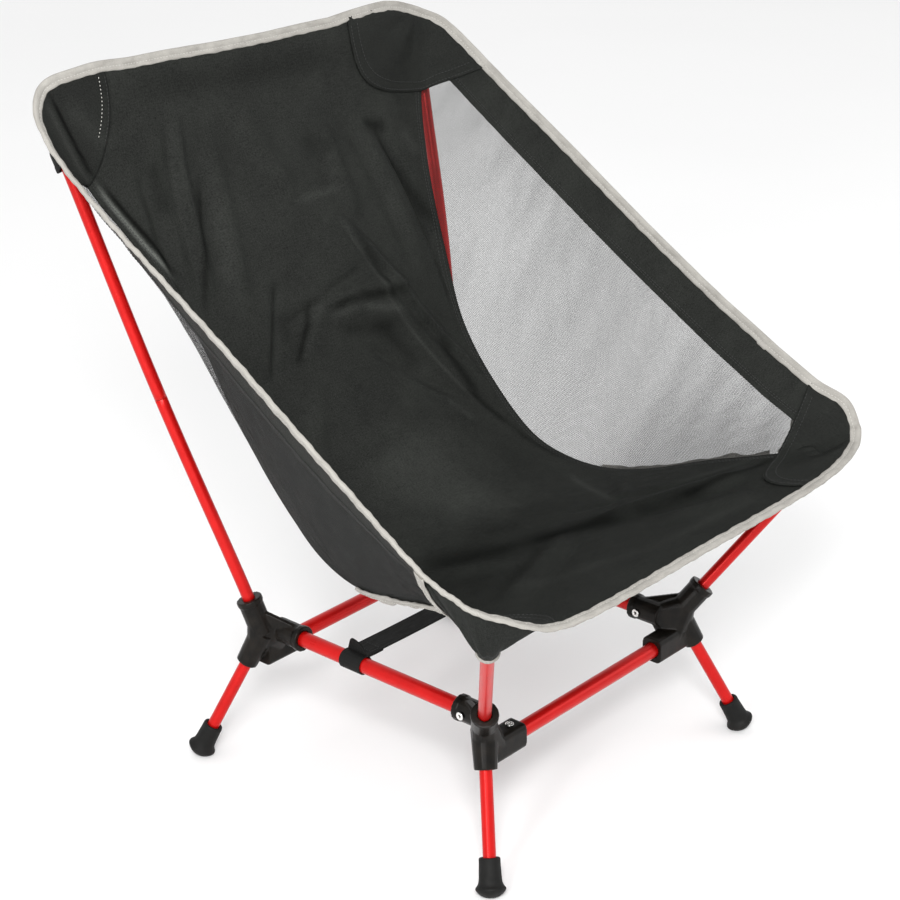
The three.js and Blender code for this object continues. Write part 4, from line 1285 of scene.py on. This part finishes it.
def build_seam_tape(side, name):
    """The tape over the front part of a side seam, below the seat."""
    width, thick, wobble = 11.5 * MM, 2.8 * MM, 1.2 * MM
    rows = np.linspace(0.672, 0.895, 240)
    seat_n = surface_normal(seat_smooth, rows, np.full_like(rows, 0.99))
    side_n = surface_normal(side_smooth, rows, np.full_like(rows, 0.02))
    outward = unit((0.3 if side < 0 else 1.2) * seat_n + side_n)
    forward = seam_line.tangent(rows)
    spread = unit(np.cross(outward, forward))
    s = rows * SEAT_LENGTH
    rolled = 0.5 * np.sin(s / (17 * MM)) + 0.35 * np.sin(s / (7.3 * MM))
    nudge = np.array([-0.5, 0, 0]) * MM if side < 0 else unit(seat_n + side_n) * 0.2 * MM
    centres = seam_line.at(rows) + outward * 1.9 * MM + nudge
    flip = np.array([side, 1, 1])
    turned = unit(spread + outward * (0.25 * rolled)[:, None])
    lift = np.cross(turned, forward)
    line = settle(centres * flip)
    ribbon(f"seam_tape_sewn_{name}", line, turned * flip, lift * flip, width, thick, TAPE,
           (f"seam_tape_{name}",), wobble)
    return [(line + unit(outward * flip) * thick / 2, outward * flip)]


# The upper edge of a front pocket on the side panel: its share of the seam's and of the side rim's length.
POCKET_EDGE = {"left": (0.910, 0.876), "right": (0.913, 0.890)}


def stand_off(across):
    """How far a front pocket's bound edge stands off the side panel, pushed out by the pole's tip."""
    return (9 * MM * np.sin(math.pi * np.clip(across, 0, 1)) ** 0.7)[:, None]


def front_pocket_outline(side):
    """The closed line where a front pocket meets the sling, at even spacing."""
    seam_row, rim_row = POCKET_EDGE[name_of(side)]
    front_row = 0.9965
    end_across = 215 / 263  # where it ends along the front edge, from the middle towards the corner
    loop = []

    def add(surface, share, across, away=0.0):
        at, up = on_surface(surface, share, across, side if surface is side_surface else 1)
        loop.append(at + up * (CLOTH / 2 + 0.5 * MM + away))

    add(seat_surface, np.full(26, front_row), side * np.linspace(end_across, 0.985, 26))
    rim_share = np.linspace(0.985, rim_row, 40)
    add(side_surface, rim_share, 1 - 3.0 * MM / side_width(rim_share))
    edge_across = np.linspace(0.96, 0.02, 26)
    add(side_surface, seam_row + (rim_row - seam_row) * edge_across, edge_across, stand_off(edge_across))
    t = np.linspace(0, 1, 34)[1:-1]
    add(seat_surface, seam_row + (front_row - seam_row) * t ** 1.2, side * (1 - (1 - end_across) * t))
    line = np.concatenate(loop)
    return resample(np.concatenate([line, line[:1]]), 1.4 * MM)[0][:-1]


def spokes(line, centre, axis, side):
    """Directions from a pocket's mouth, one for each point of its outline, and the angle of each.

    They are evenly spread, and the outermost point of the outline gets the one that faces outwards."""
    count = len(line)
    first, second = side_frame(axis)
    flat = np.stack([(line - centre) @ first, (line - centre) @ second], -1)
    ahead = np.roll(flat, -1, 0)
    direction = np.sign((flat[:, 0] * ahead[:, 1] - flat[:, 1] * ahead[:, 0]).sum())
    outward = np.array([side, -1.0, 0])
    outermost = np.argmax(line @ outward)
    facing = math.atan2(outward @ second, outward @ first)
    angle = facing + direction * (np.arange(count) - outermost) / count * 2 * math.pi
    return np.cos(angle)[:, None] * first + np.sin(angle)[:, None] * second, angle


def build_front_pocket(corner):
    """A funnel of fabric under a front corner: wide where it is sewn to the sling, narrow round the pole."""
    side = -1 if corner.endswith("left") else 1
    axis = AXES[tip_body(corner)]
    cap_start, cap_length, _ = axis_of(f"tip_cap_{corner}", axis)
    crown = cap_start + axis * (cap_length + 0.6 * MM)
    mouth_centre, mouth_radius = crown - axis * 11.5 * MM, 9.0 * MM
    line = front_pocket_outline(side)
    spoke, angle = spokes(line, mouth_centre, axis, side)
    ring = mouth_centre + mouth_radius * spoke
    # A sleeve runs straight over the pole's tip; from there the cloth flares out to the outline.
    sleeve, sleeve_steps, flare_steps, widening = 13.5 * MM, 13, 28, 0.9 * MM
    h = np.linspace(0, 1, sleeve_steps)[:-1, None, None]
    tube = ring + axis * sleeve * h + spoke * widening * h ** 2
    start = ring + axis * sleeve + spoke * widening
    t = np.linspace(0, 1, flare_steps)[:, None, None]
    leave, arrive = start + axis * 5 * MM + spoke * 5 * MM, line + (start - line) * 0.25
    flared = (1 - t) ** 3 * start + 3 * (1 - t) ** 2 * t * leave
    flared = flared + 3 * (1 - t) * t ** 2 * arrive + t ** 3 * line
    surface = np.concatenate([tube, flared])
    h = np.linspace(0, 1, len(surface))[:, None, None]
    crease = np.sin(9 * angle + 0.8 * np.sin(3 * angle))[None, :, None]
    surface = surface + spoke * crease * (0.8 * MM) * np.sin(math.pi * h) ** 1.2
    wrapped = np.concatenate([surface, surface[:, :1]], 1)
    normal = np.cross(np.gradient(wrapped, axis=0), np.gradient(wrapped, axis=1))
    normal[:, 0] = normal[:, -1] = (normal[:, 0] + normal[:, -1]) / 2
    normal = unit(normal)
    if (normal[4, :-1] * spoke).sum() < 0:
        normal = -normal
    uv = np.stack(np.broadcast_arrays(distances(wrapped[-1])[None, :], h[:, 0] * 0.04), -1)
    funnel = cloth(f"pocket_funnel_{corner}", wrapped - normal * 1.1 * MM, wrapped, uv)
    dress(funnel, PATCH, "sling", "sling_fabric", f"pocket_{corner}")
    tape = ribbon(f"pocket_lip_{corner}", ring + axis * 0.6 * MM, np.broadcast_to(axis, ring.shape), spoke,
                  4.6 * MM, 2.2 * MM, TAPE)
    seam_row, rim_row = POCKET_EDGE[name_of(side)]
    across = np.linspace(0.99, 0, 60)
    at, up = on_surface(side_surface, seam_row + (rim_row - seam_row) * across, across, side)
    up = unit(blur(up, 4))
    at = at + up * stand_off(across)
    along = unit(np.gradient(at, axis=0))
    strip = ribbon(f"pocket_edge_{corner}", at + up * 1.3 * MM, unit(np.cross(up, along)), up,
                   12.5 * MM, 2.1 * MM, TAPE, wobble=0.25 * MM)
    groove = at + up * 2.35 * MM
    return [(groove[2:-2], up[2:-2])]


def build_back_pocket(corner):
    """A panel sewn over the back of a top corner, pushed out into a ridge by the pole inside it."""
    side = -1 if corner.endswith("left") else 1
    axis = AXES[tip_body(corner)]
    cap_start, cap_length, cap_radius = axis_of(f"tip_cap_{corner}", axis)
    crown = cap_start + axis * cap_length
    depth = np.linspace(0.012, 0.074, 56)  # shares of the seam's length, from the top edge down
    seat_part = [(seat_surface, side * across, 1) for across in np.linspace(0.80, 0.995, 26)]
    side_part = [(side_surface, across, side) for across in np.linspace(0.03, 0.72, 30)]
    grid = [on_surface(surface, depth, np.full_like(depth, across), mirror)
            for surface, across, mirror in seat_part + side_part]
    base = np.array([at for at, _ in grid])
    up = unit(blur(np.array([normal for _, normal in grid]), 8))
    offset = base - crown
    down = -(offset @ axis)
    apart = offset + down[..., None] * axis
    level = -(apart * up).sum(-1)
    beside = np.linalg.norm(apart + level[..., None] * up, axis=-1)
    # The cloth lies round the cap over its middle part and slopes off to both sides of it.
    cover = cap_radius + 1.1 * MM
    round_part = cover * 0.72
    top = level + np.sqrt(np.maximum(cover ** 2 - np.minimum(beside, round_part) ** 2, 0))
    height = np.maximum(top - np.maximum(beside - round_part, 0) * 0.95, 0)
    height *= smoothstep((down + 14 * MM) / (13 * MM))
    height = blur(blur(height, 3), 3, axis=1)
    rows = np.arange(len(height))
    border = np.minimum(rows[:, None], rows[::-1, None])
    height *= smoothstep(border / 3.0)
    pleat = 0.5 * MM * np.sin(np.linspace(0, 26, len(rows)))[:, None] * smoothstep(height / (4 * MM))
    outer = base + up * (CLOTH / 2 + 0.5 * MM + height + pleat)[..., None]
    normal = unit(np.cross(np.gradient(outer, axis=0), np.gradient(outer, axis=1)))
    if (normal * up).sum() < 0:
        normal = -normal
    uv = np.stack([offset @ side_frame(axis)[0], down], -1)
    panel = cloth(f"pocket_panel_{corner}", outer, outer + normal * 1.0 * MM, uv)
    dress(panel, PATCH, "sling", "sling_fabric", f"pocket_{corner}")
    mouth, mouth_up = outer[:, -1] + normal[:, -1] * 0.5 * MM, normal[:, -1]
    along = unit(np.gradient(mouth, axis=0))
    lip = ribbon(f"pocket_lip_{corner}", mouth, unit(np.cross(mouth_up, along)), mouth_up, 6 * MM, 2 * MM,
                 WEBBING)
    return [(outer[:, row] + normal[:, row] * 1.05 * MM, normal[:, row]) for row in (3, 6)]


def build_sling():
    seat, seat_area = build_seat()
    hems = []
    for side, name in ((-1, "left"), (1, "right")):
        build_window(side, name)
        hems += build_band(side, name)
    tape, tape_lines = build_binding()
    patches, patch_lines, pale_lines = [], [], []
    for corner in CORNERS:
        patch, lines = build_patch(corner)
        patches.append(patch)
        if corner == "back_left":
            pale_lines.append(lines.pop())
        patch_lines += lines
    seam_tape_lines = build_seam_tape(-1, "left") + build_seam_tape(1, "right")
    pocket_tape, pocket_lines = [], []
    for corner in CORNERS:
        if corner.startswith("front"):
            pocket_tape += build_front_pocket(corner)
        else:
            pocket_lines += build_back_pocket(corner)
    sewn = [
        stitches("seam_stitching", seam_stitching(), DARK_THREAD),
        stitches("hem_stitching", hems, DARK_THREAD),
        stitches("patch_stitching", patch_lines + pocket_lines, DARK_THREAD, radius=0.34 * MM),
        stitches("corner_stitching", pale_lines, PALE_THREAD, 3.4 * MM, 1.7 * MM, 0.38 * MM),
        stitches("binding_stitching", tape_lines + pocket_tape + seam_tape_lines, PALE_THREAD,
                 radius=0.26 * MM),
    ]


# ---------------------------------------------------------------- studio

def floor_material():
    s = Shader("studio_floor")
    tone = s.noise("Object", (1.5, 1.5, 1.5), 3)
    return s.done(Base_Color=s.mix(tone, rgba(0.86, 0.86, 0.86), rgba(0.89, 0.89, 0.89)),
                  Roughness=s.spread(tone, 0.3, 0.7, 0.75, 0.85))


def area_light(name, place, target, size, power):
    light = bpy.data.lights.new(name, "AREA")
    light.shape = "RECTANGLE"
    light.size, light.size_y = size
    light.energy = power
    lamp = in_scene(name, light)
    lamp.location = place
    lamp.rotation_mode = "QUATERNION"
    lamp.rotation_quaternion = (Vector(target) - Vector(place)).to_track_quat("-Z", "Y")


def build_studio():
    extent = 14.0
    corners = [(x * extent, y * extent, 0) for x, y in ((-1, -1), (1, -1), (1, 1), (-1, 1))]
    floor = make("floor", corners, [np.array([[0, 1, 2, 3]])], closed=False, smooth=False)
    floor.data.materials.append(floor_material())
    world = bpy.data.worlds.new("studio")
    world.use_nodes = True
    background = world.node_tree.nodes["Background"]
    background.inputs["Color"].default_value = (1, 1, 1, 1)
    background.inputs["Strength"].default_value = 0.97
    bpy.context.scene.world = world
    area_light("key", (-1.55, -1.35, 1.75), (0, 0.1, 0.4), (0.6, 0.6), 44)
    area_light("fill", (1.9, -1.6, 1.7), (0, 0, 0.3), (1.6, 1.6), 9)
    area_light("strip", (-2.0, -0.7, 1.0), (-0.1, -0.1, 0.3), (0.25, 1.4), 16)
    bpy.context.scene.view_settings.view_transform = "Standard"


def build_camera():
    """The camera: its bearing, height angle and roll, its distance, and how far it moves across its view."""
    azimuth, elevation, roll = math.radians(-48.0), math.radians(23.45), math.radians(-0.95)
    distance, move_right, move_up = 2.1156, -0.0215, 0.2705
    base = np.array([0, -0.004, 0.005])
    back = np.array([math.sin(azimuth) * math.cos(elevation), -math.cos(azimuth) * math.cos(elevation),
                     math.sin(elevation)])
    level = np.array([math.cos(azimuth), math.sin(azimuth), 0])
    upright = np.cross(back, level)
    right = math.cos(roll) * level + math.sin(roll) * upright
    up = -math.sin(roll) * level + math.cos(roll) * upright
    data = bpy.data.cameras.new("camera")
    data.sensor_width, data.lens = 36, 89.08
    camera = in_scene("camera", data)
    place = base + back * distance + right * move_right + up * move_up
    rows = [[right[k], up[k], back[k], place[k]] for k in range(3)] + [[0, 0, 0, 1]]
    camera.matrix_world = Matrix(rows)
    bpy.context.scene.camera = camera


build_tubes()
build_tip_caps()
build_rivets()
build_feet()
build_hubs()
build_shock_cords()
build_strap()
build_sling()
build_studio()
build_camera()
